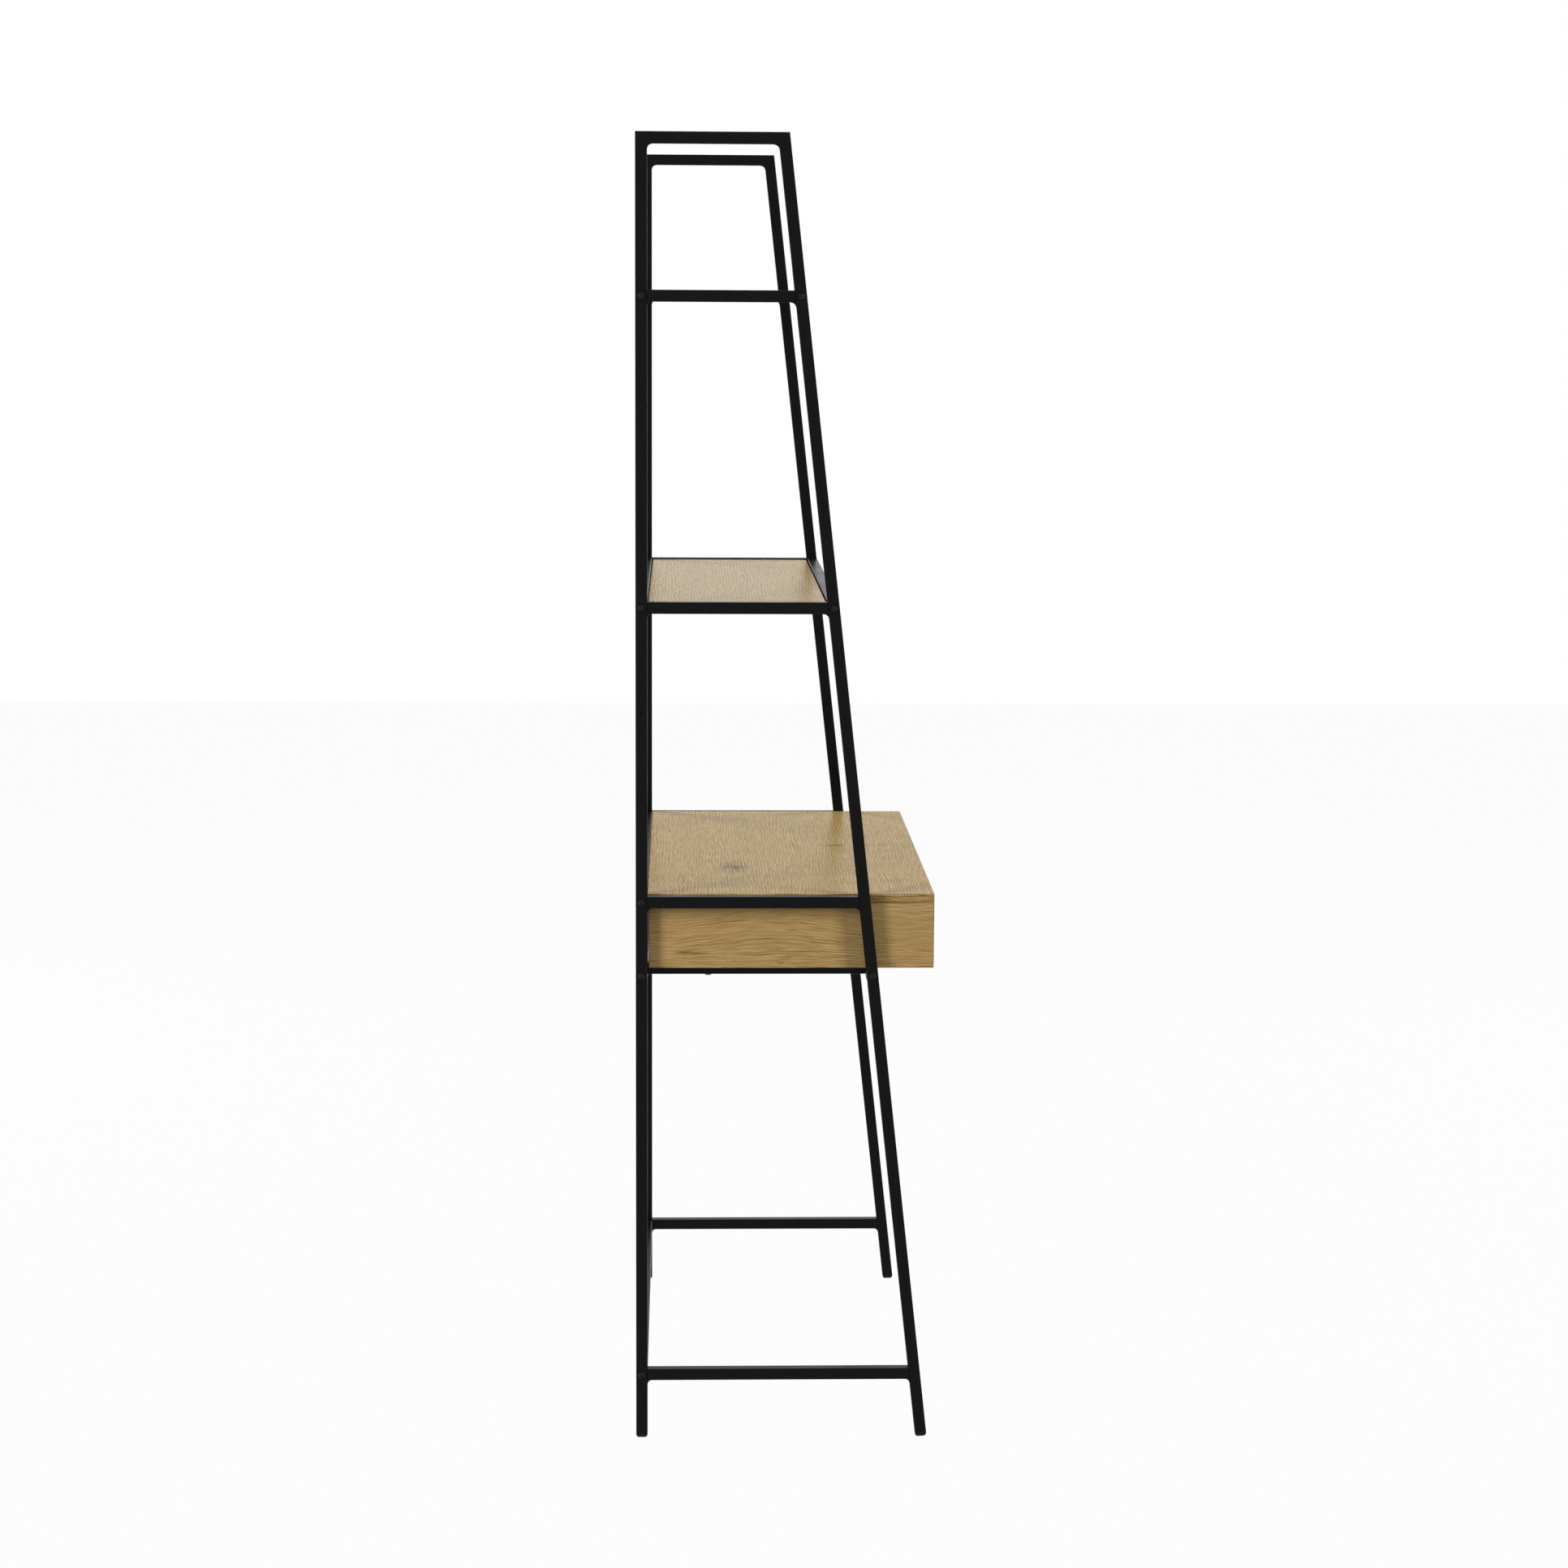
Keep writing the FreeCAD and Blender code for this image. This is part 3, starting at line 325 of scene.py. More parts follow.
# ==== finishes ==========================================================================
class Finish:
    """A material's node tree, written as one call for each node."""

    def __init__(self, name):
        self.material = bpy.data.materials.new(name)
        self.material.use_nodes = True
        self.tree = self.material.node_tree
        self.surface = self.tree.nodes["Principled BSDF"]

    def node(self, kind, inputs=None, **settings):
        made = self.tree.nodes.new("ShaderNode" + kind)
        for key, value in settings.items():
            setattr(made, key, value)
        for key, value in (inputs or {}).items():
            self.feed(made.inputs[key], value)
        return made

    def feed(self, socket, value):
        """Sets a socket to a number or colour, or links it to another node."""
        if isinstance(value, bpy.types.NodeSocket):
            self.tree.links.new(value, socket)
        else:
            socket.default_value = value

    def set(self, **sockets):
        """Feeds the surface shader; an underscore stands for a space in a socket's name."""
        for key, value in sockets.items():
            self.feed(self.surface.inputs[key.replace("_", " ")], value)

    def math(self, operation, first, second=0.0, clamp=False):
        made = self.node("Math", {0: first, 1: second}, operation=operation, use_clamp=clamp)
        return made.outputs[0]

    def total(self, start, *parts):
        """The start value plus each (value, weight) pair's product."""
        for value, weight in parts:
            inputs = {0: value, 1: weight, 2: start}
            start = self.node("Math", inputs, operation="MULTIPLY_ADD").outputs[0]
        return start

    def spot(self, place, along, across, half_length, half_width):
        """Distance from a spot on the board, 1 at the rim of an ellipse of this size."""
        from_spot = self.node("Mapping", {
            "Vector": place,
            "Location": (-along / half_length, -across / half_width, 0),
            "Scale": (1 / half_length, 1 / half_width, 0)}).outputs[0]
        return self.node("VectorMath", {0: from_spot}, operation="LENGTH").outputs["Value"]

    def object_place(self, turn=(0, 0, 0), shift=(0, 0, 0)):
        """Object coordinates, turned and shifted so that the pattern fits the piece."""
        place = self.node("TexCoord").outputs["Object"]
        inputs = {"Vector": place, "Rotation": turn, "Location": shift}
        return self.node("Mapping", inputs).outputs[0]

    def grain_place(self, along, across, centre):
        """Object coordinates from the centre, the grain along X and the width along Y."""
        along, across = Vector(along), Vector(across)
        turn = Matrix((along, across, along.cross(across)))
        return self.object_place(turn.to_euler(), -(turn @ Vector(centre)))

    def noise(self, place, scale, detail=2.0, roughness=0.5, distortion=0.0):
        """Cloudy noise from 0 to 1. Scale counts features per metre, along each axis or
        along all three alike."""
        if not isinstance(scale, tuple):
            scale = (scale, scale, scale)
        stretched = self.node("Mapping", {"Vector": place, "Scale": scale}).outputs[0]
        inputs = {"Vector": stretched, "Scale": 1.0, "Detail": detail,
                  "Roughness": roughness, "Distortion": distortion}
        return self.node("TexNoise", inputs).outputs[0]

    def range(self, value, low, high, new_low=0.0, new_high=1.0):
        inputs = {"Value": value, "From Min": low, "From Max": high,
                  "To Min": new_low, "To Max": new_high}
        return self.node("MapRange", inputs, interpolation_type="SMOOTHSTEP").outputs[0]

    def mix(self, factor, first, second, blend="MIX"):
        """Two colours mixed: inputs 6 and 7 of the node, and its output 2, are the colours."""
        made = self.node("Mix", data_type="RGBA", blend_type=blend)
        self.feed(made.inputs["Factor"], factor)
        for index, colour in ((6, first), (7, second)):
            self.feed(made.inputs[index], (*colour, 1.0) if isinstance(colour, tuple) else colour)
        return made.outputs[2]

    def tinted(self, colour, tint):
        return self.mix(1.0, colour, tint, "MULTIPLY")

    def bump(self, height, distance, strength):
        inputs = {"Height": height, "Distance": distance, "Strength": strength}
        return self.node("Bump", inputs).outputs[0]


def brighter(colour, share):
    return tuple(channel * share for channel in colour)


# ---- powder coat, plastic and zinc -----------------------------------------------------
peel_scale = 900                     # orange peel of the coat, bumps per metre
peel_depth = 0.02 * mm
gloss_scale = 18                     # patches of its uneven gloss
grit_scale = 2600                    # pale specks in it
speck_strength = 0.35
coat_patch_gain = 1.6                # how much brighter the coat's patches are
coat_speck_gain = 2.6
plastic_grain_scale = 1600
plastic_grain_depth = 0.03 * mm
plastic_patch_scale = 60
plastic_patch_gain = 1.8
plastic_gloss = 0.12
scuff_scale = (700, 700, 90)
scuff_strength = 0.3
scuff_grey = (0.03, 0.03, 0.03)
drawn_scale = 900                    # drawing lines in plated steel
drawn_depth = 0.02 * mm
drawn_shade = (0.86, 0.86, 0.86)
plated_patch_scale = 45
passivation_yellow = (0.62, 0.60, 0.52)


def powder_coat(name, colour, roughness=0.30, gloss=0.085):
    """Satin powder coat: a fine orange-peel surface with slightly uneven gloss."""
    finish = Finish(name)
    place = finish.object_place()
    peel = finish.noise(place, peel_scale)
    cloud = finish.noise(place, gloss_scale, detail=3.0)
    grit = finish.range(finish.noise(place, grit_scale, detail=1.0), 0.60, 0.72)
    tone = finish.mix(cloud, colour, brighter(colour, coat_patch_gain))
    specks = finish.math("MULTIPLY", grit, speck_strength)
    finish.set(Base_Color=finish.mix(specks, tone, brighter(colour, coat_speck_gain)))
    finish.set(Roughness=finish.range(cloud, 0.3, 0.7, roughness - 0.03, roughness + 0.04))
    finish.set(Specular_IOR_Level=gloss, Normal=finish.bump(peel, peel_depth, 0.4))
    return finish.material


def moulded_plastic(name, colour):
    """Matt plastic with a fine mould grain and pale upright scuffs."""
    finish = Finish(name)
    place = finish.object_place()
    grain = finish.noise(place, plastic_grain_scale)
    cloud = finish.noise(place, plastic_patch_scale, detail=3.0)
    scuff = finish.range(finish.noise(place, scuff_scale, detail=4.0), 0.62, 0.75)
    base = finish.mix(cloud, colour, brighter(colour, plastic_patch_gain))
    worn = finish.mix(finish.math("MULTIPLY", scuff, scuff_strength), base, scuff_grey)
    finish.set(Base_Color=worn, Specular_IOR_Level=plastic_gloss)
    finish.set(Roughness=finish.range(cloud, 0.3, 0.7, 0.4, 0.5))
    finish.set(Normal=finish.bump(grain, plastic_grain_depth, 0.6))
    return finish.material


def plated_steel(name, colour, roughness, drawn=(1, 1, 1)):
    """Zinc-plated steel with faint drawing lines and cloudy passivation."""
    finish = Finish(name)
    place = finish.object_place()
    lines = finish.noise(place, tuple(drawn_scale * share for share in drawn), detail=3.0)
    cloud = finish.noise(place, plated_patch_scale, detail=4.0, distortion=0.4)
    warm = finish.mix(cloud, colour, passivation_yellow)
    shade = finish.mix(finish.range(lines, 0.3, 0.7), drawn_shade, plain_tone)
    finish.set(Base_Color=finish.tinted(warm, shade), Metallic=1.0)
    finish.set(Roughness=finish.range(cloud, 0.25, 0.75, roughness - 0.05, roughness + 0.12))
    finish.set(Normal=finish.bump(lines, drawn_depth, 0.4))
    return finish.material


# ---- wood-look foils -------------------------------------------------------------------
oak_light = (0.668, 0.474, 0.222)
oak_dark = (0.228, 0.130, 0.028)
pore_brown = (0.130, 0.072, 0.020)
knot_brown = (0.120, 0.052, 0.010)
rosy_tint = (1.012, 0.992, 0.99)
green_tint = (0.99, 1.008, 0.99)
plain_tone = (1.0, 1.0, 1.0)
# painted light: the desktop's and upper shelf's oak has its blue cut to stand in for the warm
# sheen on these level faces, while the upright boards keep the plain oak
level_board_painted_sheen_tone = (0.98, 0.99, 0.87)      # desktop and upper shelf
# painted light: the lower shelf's oak is made lighter and warmer to stand in for the bright sheen
# on it seen at a grazing angle
lower_shelf_painted_light_tone = (1.06, 1.07, 0.885)
lower_shelf_sheen = 0.17
band_tone = (0.75, 0.725, 0.68)
band_shift = Vector((0.31, 0.17, 0.23))    # keeps the band's pattern unlike the face's
usual_depth = 0.60                   # where the board's mean colour lies between light and dark
marks_depth = 0.025                  # what streaks and dashes add to that
streak_weight = 0.03
dash_weight = 0.08
line_gap = 4.6 * mm                  # from one growth line to the next
fine_gap = 2.6 * mm                  # from one fine furrow to the next
turn_round = 2 * math.pi
line_slant = 0.3                     # how far the lines shift across for each step inwards
noise_gain = 5.0                     # noise swings by about a fifth, and this makes it whole
uneven_turn = 5.0                    # radians by which the gaps between growth lines differ
jitter_turn = 7.0                    # radians by which a growth line trembles
wander_turn = 24.0                   # radians by which a furrow wanders
knot_core, knot_rim = 0.1, 1.3       # where a knot's dark fades from and to, in its half sizes
eddy_rim = 2.0                       # where an eddy's bulge ends
grain_depth = 0.05 * mm
oak_roughness = (0.27, 0.34)         # between the fibres and on them
foil_light = (0.60, 0.50, 0.36)
foil_dark = (0.50, 0.39, 0.26)
foil_cloud = (0.56, 0.44, 0.31)
foil_cloud_strength = 0.35
foil_gloss = 0.3
foil_depth = 0.03 * mm

# Features per metre along the grain, across it and into the board
sway_scale = (2.6, 9.0, 9.0)
ripple_scale = (9.0, 14.0, 14.0)
uneven_scale = (0.31, 1, 1)          # features per growth line
jitter_scale = (26, 60, 60)
fade_scale = (14, 60, 60)
wander_scale = (14, 75, 75)
break_scale = (32, 240, 240)
fibre_scale = (26, 1050, 1050)
streak_scale = (14, 190, 190)
dash_scale = (42, 560, 560)
pore_scale = (95, 1700, 1700)
patch_scale = (5.0, 12.0, 12.0)
foil_grain_scale = (9, 260, 260)
foil_cloud_scale = (3, 14, 14)


def wavy_grain(finish, place, eddies, sway, ripple):
    """The place on the board, shifted across the grain by long waves and by eddies."""
    slow = finish.noise(place, sway_scale, detail=1.0)
    wave = finish.noise(place, ripple_scale)
    shift = finish.total(-noise_gain / 2 * (sway + ripple),
                         (slow, noise_gain * sway), (wave, noise_gain * ripple))
    for along, across, half_length, half_width, bulge in eddies:
        distance = finish.spot(place, along, across, half_length, half_width)
        shift = finish.math("ADD", shift, finish.range(distance, 0.0, eddy_rim, bulge, 0.0))
    offset = finish.node("CombineXYZ", {1: shift}).outputs[0]
    return finish.node("VectorMath", {0: place, 1: offset}, operation="ADD").outputs[0]


def growth_lines(finish, grain, level):
    """Waves from -1 to 1 with uneven gaps, which fade here and there."""
    count = finish.math("DIVIDE", level, line_gap)
    count_place = finish.node("CombineXYZ", {0: count}).outputs[0]
    uneven = finish.noise(count_place, uneven_scale, detail=1.0)
    jitter = finish.noise(grain, jitter_scale)
    wave = finish.total(0.0, (count, turn_round), (uneven, uneven_turn), (jitter, jitter_turn))
    fade = finish.range(finish.noise(grain, fade_scale), 0.36, 0.60, 0.35, 1.0)
    return finish.math("MULTIPLY", finish.math("SINE", wave), fade)


def fine_furrows(finish, grain, level):
    """Closer waves from -1 to 1, broken into short stretches."""
    wander = finish.noise(grain, wander_scale)
    wave = finish.total(0.0, (level, turn_round / fine_gap), (wander, wander_turn))
    broken = finish.range(finish.noise(grain, break_scale, detail=1.0), 0.36, 0.62, 0.1, 1.0)
    return finish.math("MULTIPLY", finish.math("SINE", wave), broken)


def with_knots(finish, place, colour, knots, marks):
    """The colour with brown knots, which the marks break up."""
    for along, across, half_length, half_width, darkness in knots:
        distance = finish.spot(place, along, across, half_length, half_width)
        dark = finish.range(distance, knot_core, knot_rim, darkness, 0.0)
        colour = finish.mix(finish.math("MULTIPLY", dark, marks, clamp=True), colour, knot_brown)
    return colour


def oak(name, along, across, centre, knots=(), eddies=(), sway=3 * mm, ripple=0.9 * mm,
        line_weight=0.20, fine_weight=0.11, fibre_weight=0.36, tone=plain_tone, sheen=0.05):
    """Oak decor: wavy growth lines, fine furrows, fibres, tone patches and knots.

    Knots are (place along the grain, place across it, half length, half width, darkness),
    counted from the centre of the board's face, and eddies the same with the bulge of the
    lines round them last. Sway and ripple are how far the lines wander over the board and
    over a hand's width. The weights are the contrast of the lines, furrows and fibres."""
    finish = Finish(name)
    place = finish.grain_place(along, across, centre)
    grain = wavy_grain(finish, place, eddies, sway, ripple)
    parts = finish.node("SeparateXYZ", {0: grain})
    level = finish.total(0.0, (parts.outputs[1], 1.0), (parts.outputs[2], line_slant))
    growth = growth_lines(finish, grain, level)
    furrow = fine_furrows(finish, grain, level)
    fibre = finish.noise(grain, fibre_scale, detail=1.0, roughness=0.6)
    fibre = finish.range(fibre, 0.28, 0.72)
    streak = finish.range(finish.noise(grain, streak_scale), 0.28, 0.72)
    dash = finish.range(finish.noise(grain, dash_scale), 0.55, 0.70)
    pores = finish.range(finish.noise(grain, pore_scale, detail=1.0), 0.56, 0.68)
    patch = finish.noise(place, patch_scale, distortion=0.2)

    depth = finish.total(
        usual_depth - 0.5 * fibre_weight - marks_depth, (growth, line_weight),
        (furrow, fine_weight), (fibre, fibre_weight), (streak, streak_weight),
        (dash, dash_weight))
    colour = finish.mix(depth, oak_light, oak_dark)
    tint = finish.mix(finish.range(patch, 0.40, 0.60), rosy_tint, green_tint)
    colour = finish.tinted(colour, tint)
    pore_strength = finish.math("MULTIPLY", pores, 0.5 * fibre_weight)
    colour = finish.mix(pore_strength, colour, pore_brown)
    marks = finish.total(0.45, (growth, 0.3), (fibre, 0.4))
    colour = with_knots(finish, place, colour, knots, marks)
    # the tone is the edge bands' own darker colour, and on the level boards painted light that
    # stands in for the sheen on them
    if tone != plain_tone:
        colour = finish.tinted(colour, tone)
    height = finish.total(0.0, (fibre, 1.0), (pores, -0.5), (dash, -0.4))
    finish.set(Base_Color=colour, Specular_IOR_Level=sheen)
    finish.set(Roughness=finish.range(fibre, 0.0, 1.0, *oak_roughness))
    finish.set(Normal=finish.bump(height, grain_depth, 0.5))
    return finish.material


def pale_foil(name, along, across, centre):
    """Pale foil with a faint straight grain."""
    finish = Finish(name)
    place = finish.grain_place(along, across, centre)
    grain = finish.noise(place, foil_grain_scale, detail=4.0)
    cloud = finish.noise(place, foil_cloud_scale)
    colour = finish.mix(finish.range(grain, 0.3, 0.72), foil_light, foil_dark)
    cloudy = finish.math("MULTIPLY", cloud, foil_cloud_strength)
    finish.set(Base_Color=finish.mix(cloudy, colour, foil_cloud), Specular_IOR_Level=foil_gloss)
    finish.set(Roughness=finish.range(grain, 0.3, 0.7, 0.5, 0.6))
    finish.set(Normal=finish.bump(grain, foil_depth, 0.5))
    return finish.material


black = powder_coat("black powder coat", (0.0026, 0.0026, 0.0027))
bolt_black = powder_coat("black zinc", (0.0030, 0.0030, 0.0031), roughness=0.26, gloss=0.22)


# ==== steel frame =======================================================================
def leg_line_y(height):
    """Y of the front leg's rear face at this height."""
    return tube / math.cos(lean) - foot_reach + height * math.tan(lean)


def add_tube(name, start, end):
    """Square tube with round corners, open at both ends, still without its wall."""
    deselect()
    start, end = Vector(start), Vector(end)
    bpy.ops.mesh.primitive_cube_add(size=1)
    piece = named(name)
    piece.scale = (tube, tube, (end - start).length)
    settle(piece)
    edit(piece)
    round_as_tube(piece)
    pick(piece, "FACE", lambda face: abs(face.normal.z) > aligned)
    bpy.ops.mesh.delete(type="ONLY_FACE")
    leave()
    piece.location = (start + end) / 2
    piece.rotation_euler = Vector(Z).rotation_difference(end - start).to_euler()
    settle(piece)
    return piece


def give_wall(piece):
    """Turns the tube's outer skin into a wall of the right thickness."""
    apply_modifier(piece, "SOLIDIFY", thickness=tube_wall, offset=-1.0, use_even_offset=True)
    smooth(piece)


def finish_tube(piece, node):
    give_wall(piece)
    give(piece, black)
    belongs(piece, "root", "black_steel", node)


def front_corner():
    """A point on the mitre at the front top corner, and its normal towards the rail."""
    outer = Vector((0, 0, frame_height))
    inner = Vector((0, leg_line_y(frame_height - tube), frame_height - tube))
    line = outer - inner
    return outer, Vector((0, line.z, -line.y))


def rear_leg(side_name):
    """Upright leg with its upper end mitred, and a small hole in its outer face."""
    node = side_name + "_rear_leg"
    side = SIDES[side_name]
    low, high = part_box(node)
    x, y = centre_of(node).xy
    leg = add_tube(node + "_tube", (x, y, low.z), (x, y, high.z + tube))
    saw(leg, (0, high.y, high.z), (0, -1, 1))
    give_wall(leg)
    outer_x = low.x if side < 0 else high.x
    start = (outer_x * hole_cutter_start, y, hanging_hole_height)
    end = (outer_x - side * hole_cutter_depth, y, hanging_hole_height)
    carve(leg, add_rod("hole", start, end, hanging_hole_radius, hanging_hole_sides))
    give(leg, black)
    belongs(leg, "root", "black_steel", node)


def front_leg(side_name):
    node = side_name + "_front_leg"
    up = Vector((0, math.sin(lean), math.cos(lean)))
    axis_foot = Vector((centre_of(node).x, tube / 2 / math.cos(lean) - foot_reach, 0))
    leg = add_tube(node + "_tube", axis_foot + up * foot_height,
                   axis_foot + up * (frame_height * leg_stock))
    point, rail_side = front_corner()
    saw(leg, point, rail_side)
    finish_tube(leg, node)


def rail_stock(node):
    """Level tube from the front to the rear, still too long at the front."""
    low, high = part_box(node)
    x, z = centre_of(node).xz
    return add_tube(node + "_tube", (x, low.y - tube, z), (x, high.y, z))


def top_rail(side_name):
    """Rail with both ends mitred to the legs."""
    node = side_name + "_top_rail"
    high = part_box(node)[1]
    rail = rail_stock(node)
    saw(rail, (0, high.y, high.z), (0, 1, -1))
    point, rail_side = front_corner()
    saw(rail, point, -rail_side)
    finish_tube(rail, node)


def side_rail(side_name, rail_name):
    """Level rail whose front end follows the sloping leg."""
    node = side_name + "_" + rail_name
    rail = rail_stock(node)
    saw(rail, (0, leg_line_y(0), 0), (0, -math.cos(lean), math.sin(lean)))
    finish_tube(rail, node)


def straight_rail(node):
    """Rail with both ends square, along its longest side."""
    low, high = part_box(node)
    axis = axis_of(node, max)
    start, end = centre_of(node), centre_of(node)
    start[axis], end[axis] = low[axis], high[axis]
    finish_tube(add_tube(node + "_tube", start, end), node)


def weld_pattern():
    """Weld in a corner at the origin: one leg along Y, the other along Z, rippled along X."""
    half = weld_width / 2
    weld = add_block("weld", (-half, 0, 0), (half, weld_leg, weld_leg))
    hollow = add_rod("hollow", (-half - mm, weld_leg, weld_leg), (half + mm, weld_leg, weld_leg),
                     weld_leg * weld_hollow, weld_hollow_sides)
    edit(hollow)
    step = weld_width / (2 * weld_ripples)
    for index in range(2 * weld_ripples + 1):
        bpy.ops.mesh.select_all(action="SELECT")
        bpy.ops.mesh.bisect(plane_co=(-half + index * step, 0, 0), plane_no=X, threshold=hair)
    for index in range(1, 2 * weld_ripples, 2):
        crest = -half + index * step
        pick(hollow, "VERT", lambda vert: abs(vert.co.x - crest) < step / 4)
        bpy.ops.transform.resize(value=(1, 1 - weld_ripple_swell, 1 - weld_ripple_swell),
                                 center_override=(crest, weld_leg, weld_leg))
    leave()
    carve(weld, hollow)
    smooth(weld, degrees=50)
    give(weld, black)
    return weld


def welds(side_name):
    """A weld under both ends of every rail of a side frame."""
    pattern = weld_pattern()
    x = centre_of(side_name + "_rear_leg").x
    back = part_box(side_name + "_rear_leg")[0].y
    down_leg = Vector((0, -math.sin(lean), -math.cos(lean)))
    made = []
    for rail_name in ("top_rail", *SIDE_RAILS):
        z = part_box(side_name + "_" + rail_name)[0].z
        corners = {
            "rear": (back, Vector((0, -1, 0)), Vector((0, 0, -1))),
            "front": (leg_line_y(z), Vector(Y), down_leg),
        }
        for end, (y, along_rail, along_leg) in corners.items():
            basis = Matrix((X, along_rail, along_leg)).transposed().to_4x4()
            basis.translation = (x, y, z)
            made.append(copy_of(pattern, "_".join((side_name, rail_name, end, "weld")), basis))
    discard(pattern)
    for index, weld in enumerate(made):
        first = index == 0
        belongs(weld, "root", "black_steel", *([side_name + "_frame_welds"] if first else []))


def side_frame(side_name):
    rear_leg(side_name)
    front_leg(side_name)
    top_rail(side_name)
    for rail_name in SIDE_RAILS:
        side_rail(side_name, rail_name)
    straight_rail(side_name + "_under_desk_rail")
    welds(side_name)


# ==== bolts and screws ==================================================================
def dome_head(name, radius, height, crown_radius, shank_radius, length):
    """Screw on the X axis: shank behind the origin, seat at the origin, domed head in front."""
    head = add_rod(name, (-length, 0, 0), (0, 0, 0), shank_radius)
    sink = (radius ** 2 - crown_radius ** 2 - height ** 2) / (2 * height)
    ball = math.hypot(radius, sink)
    edit(head)
    pick(head, "FACE", lambda face: face.normal.x > square_on)
    extrude((0, 0, 0), (1, radius / shank_radius, radius / shank_radius), (0, 0, 0))
    widest = radius
    for step in range(1, dome_steps + 1):
        x = height * math.sin(step / dome_steps * math.pi / 2)
        narrower = math.sqrt(ball ** 2 - (x + sink) ** 2)
        rise = x - height * math.sin((step - 1) / dome_steps * math.pi / 2)
        extrude((rise, 0, 0), (1, narrower / widest, narrower / widest), (x, 0, 0))
        widest = narrower
    leave()
    return head


def bolt_pattern():
    """Button-head bolt with a hexagon socket."""
    bolt = dome_head("bolt", bolt_head_radius, bolt_head_height, bolt_crown_radius,
                     bolt_shank_radius, bolt_length)
    floor_x = bolt_head_height - socket_depth
    carve(bolt, add_rod("socket", (floor_x, 0, 0), (bolt_head_height + mm, 0, 0),
                        socket_radius, 6))
    edit(bolt)
    pick(bolt, "EDGE", lambda edge: abs(middle(edge).x - bolt_head_height) < near
         and middle(edge).yz.length < socket_radius + socket_room)
    bpy.ops.mesh.bevel(offset=socket_rounding, segments=2)
    leave()
    smooth(bolt)
    return bolt


def truss_pattern():
    """Truss-headed screw with a cross recess."""
    screw = dome_head("screw", truss_head_radius, truss_head_height, truss_crown_radius,
                      truss_shank_radius, truss_length)
    for width, length in ((recess_width, recess_length), (recess_length, recess_width)):
        low = (truss_head_height - recess_depth, -width / 2, -length / 2)
        high = (truss_head_height + mm, width / 2, length / 2)
        carve(screw, add_block("recess", low, high))
    smooth(screw)
    return screw


def frame_bolts():
    """A bolt through the side frame into each end of every cross rail."""
    pattern = bolt_pattern()
    give(pattern, bolt_black)
    for side_name, side in SIDES.items():
        seat_x = side * abs(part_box("left_rear_leg")[0].x)
        turn = Matrix.Rotation(0 if side > 0 else math.pi, 4, "Z")
        for rail in CROSS_RAILS:
            place = Vector((seat_x, centre_of(rail).y, centre_of(rail).z))
            name = "_".join((side_name, rail, "bolt"))
            bolt = copy_of(pattern, name, Matrix.Translation(place) @ turn)
            first = side_name == "left" and rail == CROSS_RAILS[0]
            belongs(bolt, "root", "black_bolt", *(["frame_bolts"] if first else []))
    discard(pattern)


def under_desk_screws():
    """Screws up through the under-desk rails into the box."""
    pattern = truss_pattern()
    give(pattern, bolt_black)
    turn = Matrix.Rotation(math.pi / 2, 4, "Y")
    seat_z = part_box("under_desk_front_rail")[0].z
    rail_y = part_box("left_rear_leg")[1].y - under_screw_from_rear
    front_y = centre_of("under_desk_front_rail").y
    for side_name, side in SIDES.items():
        places = {"rail": (centre_of(side_name + "_under_desk_rail").x, rail_y),
                  "front": (side * under_screw_from_middle, front_y)}
        for where, (x, y) in places.items():
            matrix = Matrix.Translation((x, y, seat_z)) @ turn
            screw = copy_of(pattern, "_".join((side_name, where, "screw")), matrix)
            first = side_name == "left" and where == "rail"
            belongs(screw, "root", "black_bolt", *(["under_desk_screws"] if first else []))
    discard(pattern)


# ==== feet ==============================================================================
def foot_pattern(reach):
    """Plastic foot on the Z axis: plug, collar and tapering end, which goes on to -reach."""
    half = tube / 2
    shoulder = foot_height - foot_collar
    foot = add_block("foot", (-half, -half, shoulder), (half, half, foot_height))
    edit(foot)
    round_as_tube(foot)
    pick(foot, "FACE", lambda face: face.normal.z < -aligned)
    rise = -(shoulder + reach) / foot_steps
    share_before = 1.0
    for step in range(1, foot_steps + 1):
        share = 1 - (1 - foot_base / tube) * (step / foot_steps) ** foot_crown
        extrude((0, 0, rise), (share / share_before, share / share_before, 1), (0, 0, 0))
        share_before = share
    pick(foot, "FACE", lambda face: face.normal.z > aligned)
    bpy.ops.mesh.inset(thickness=(tube - foot_plug) / 2)
    bpy.ops.mesh.extrude_region_move(TRANSFORM_OT_translate={"value": (0, 0, foot_plug_length)})
    outside_plug = foot_plug / 2 + mm / 2
    pick(foot, "EDGE", lambda edge: lies_at(edge, foot_height)
         and middle(edge).xy.length > outside_plug)
    bpy.ops.mesh.bevel(offset=foot_rim / 2, segments=2)
    leave()
    return foot


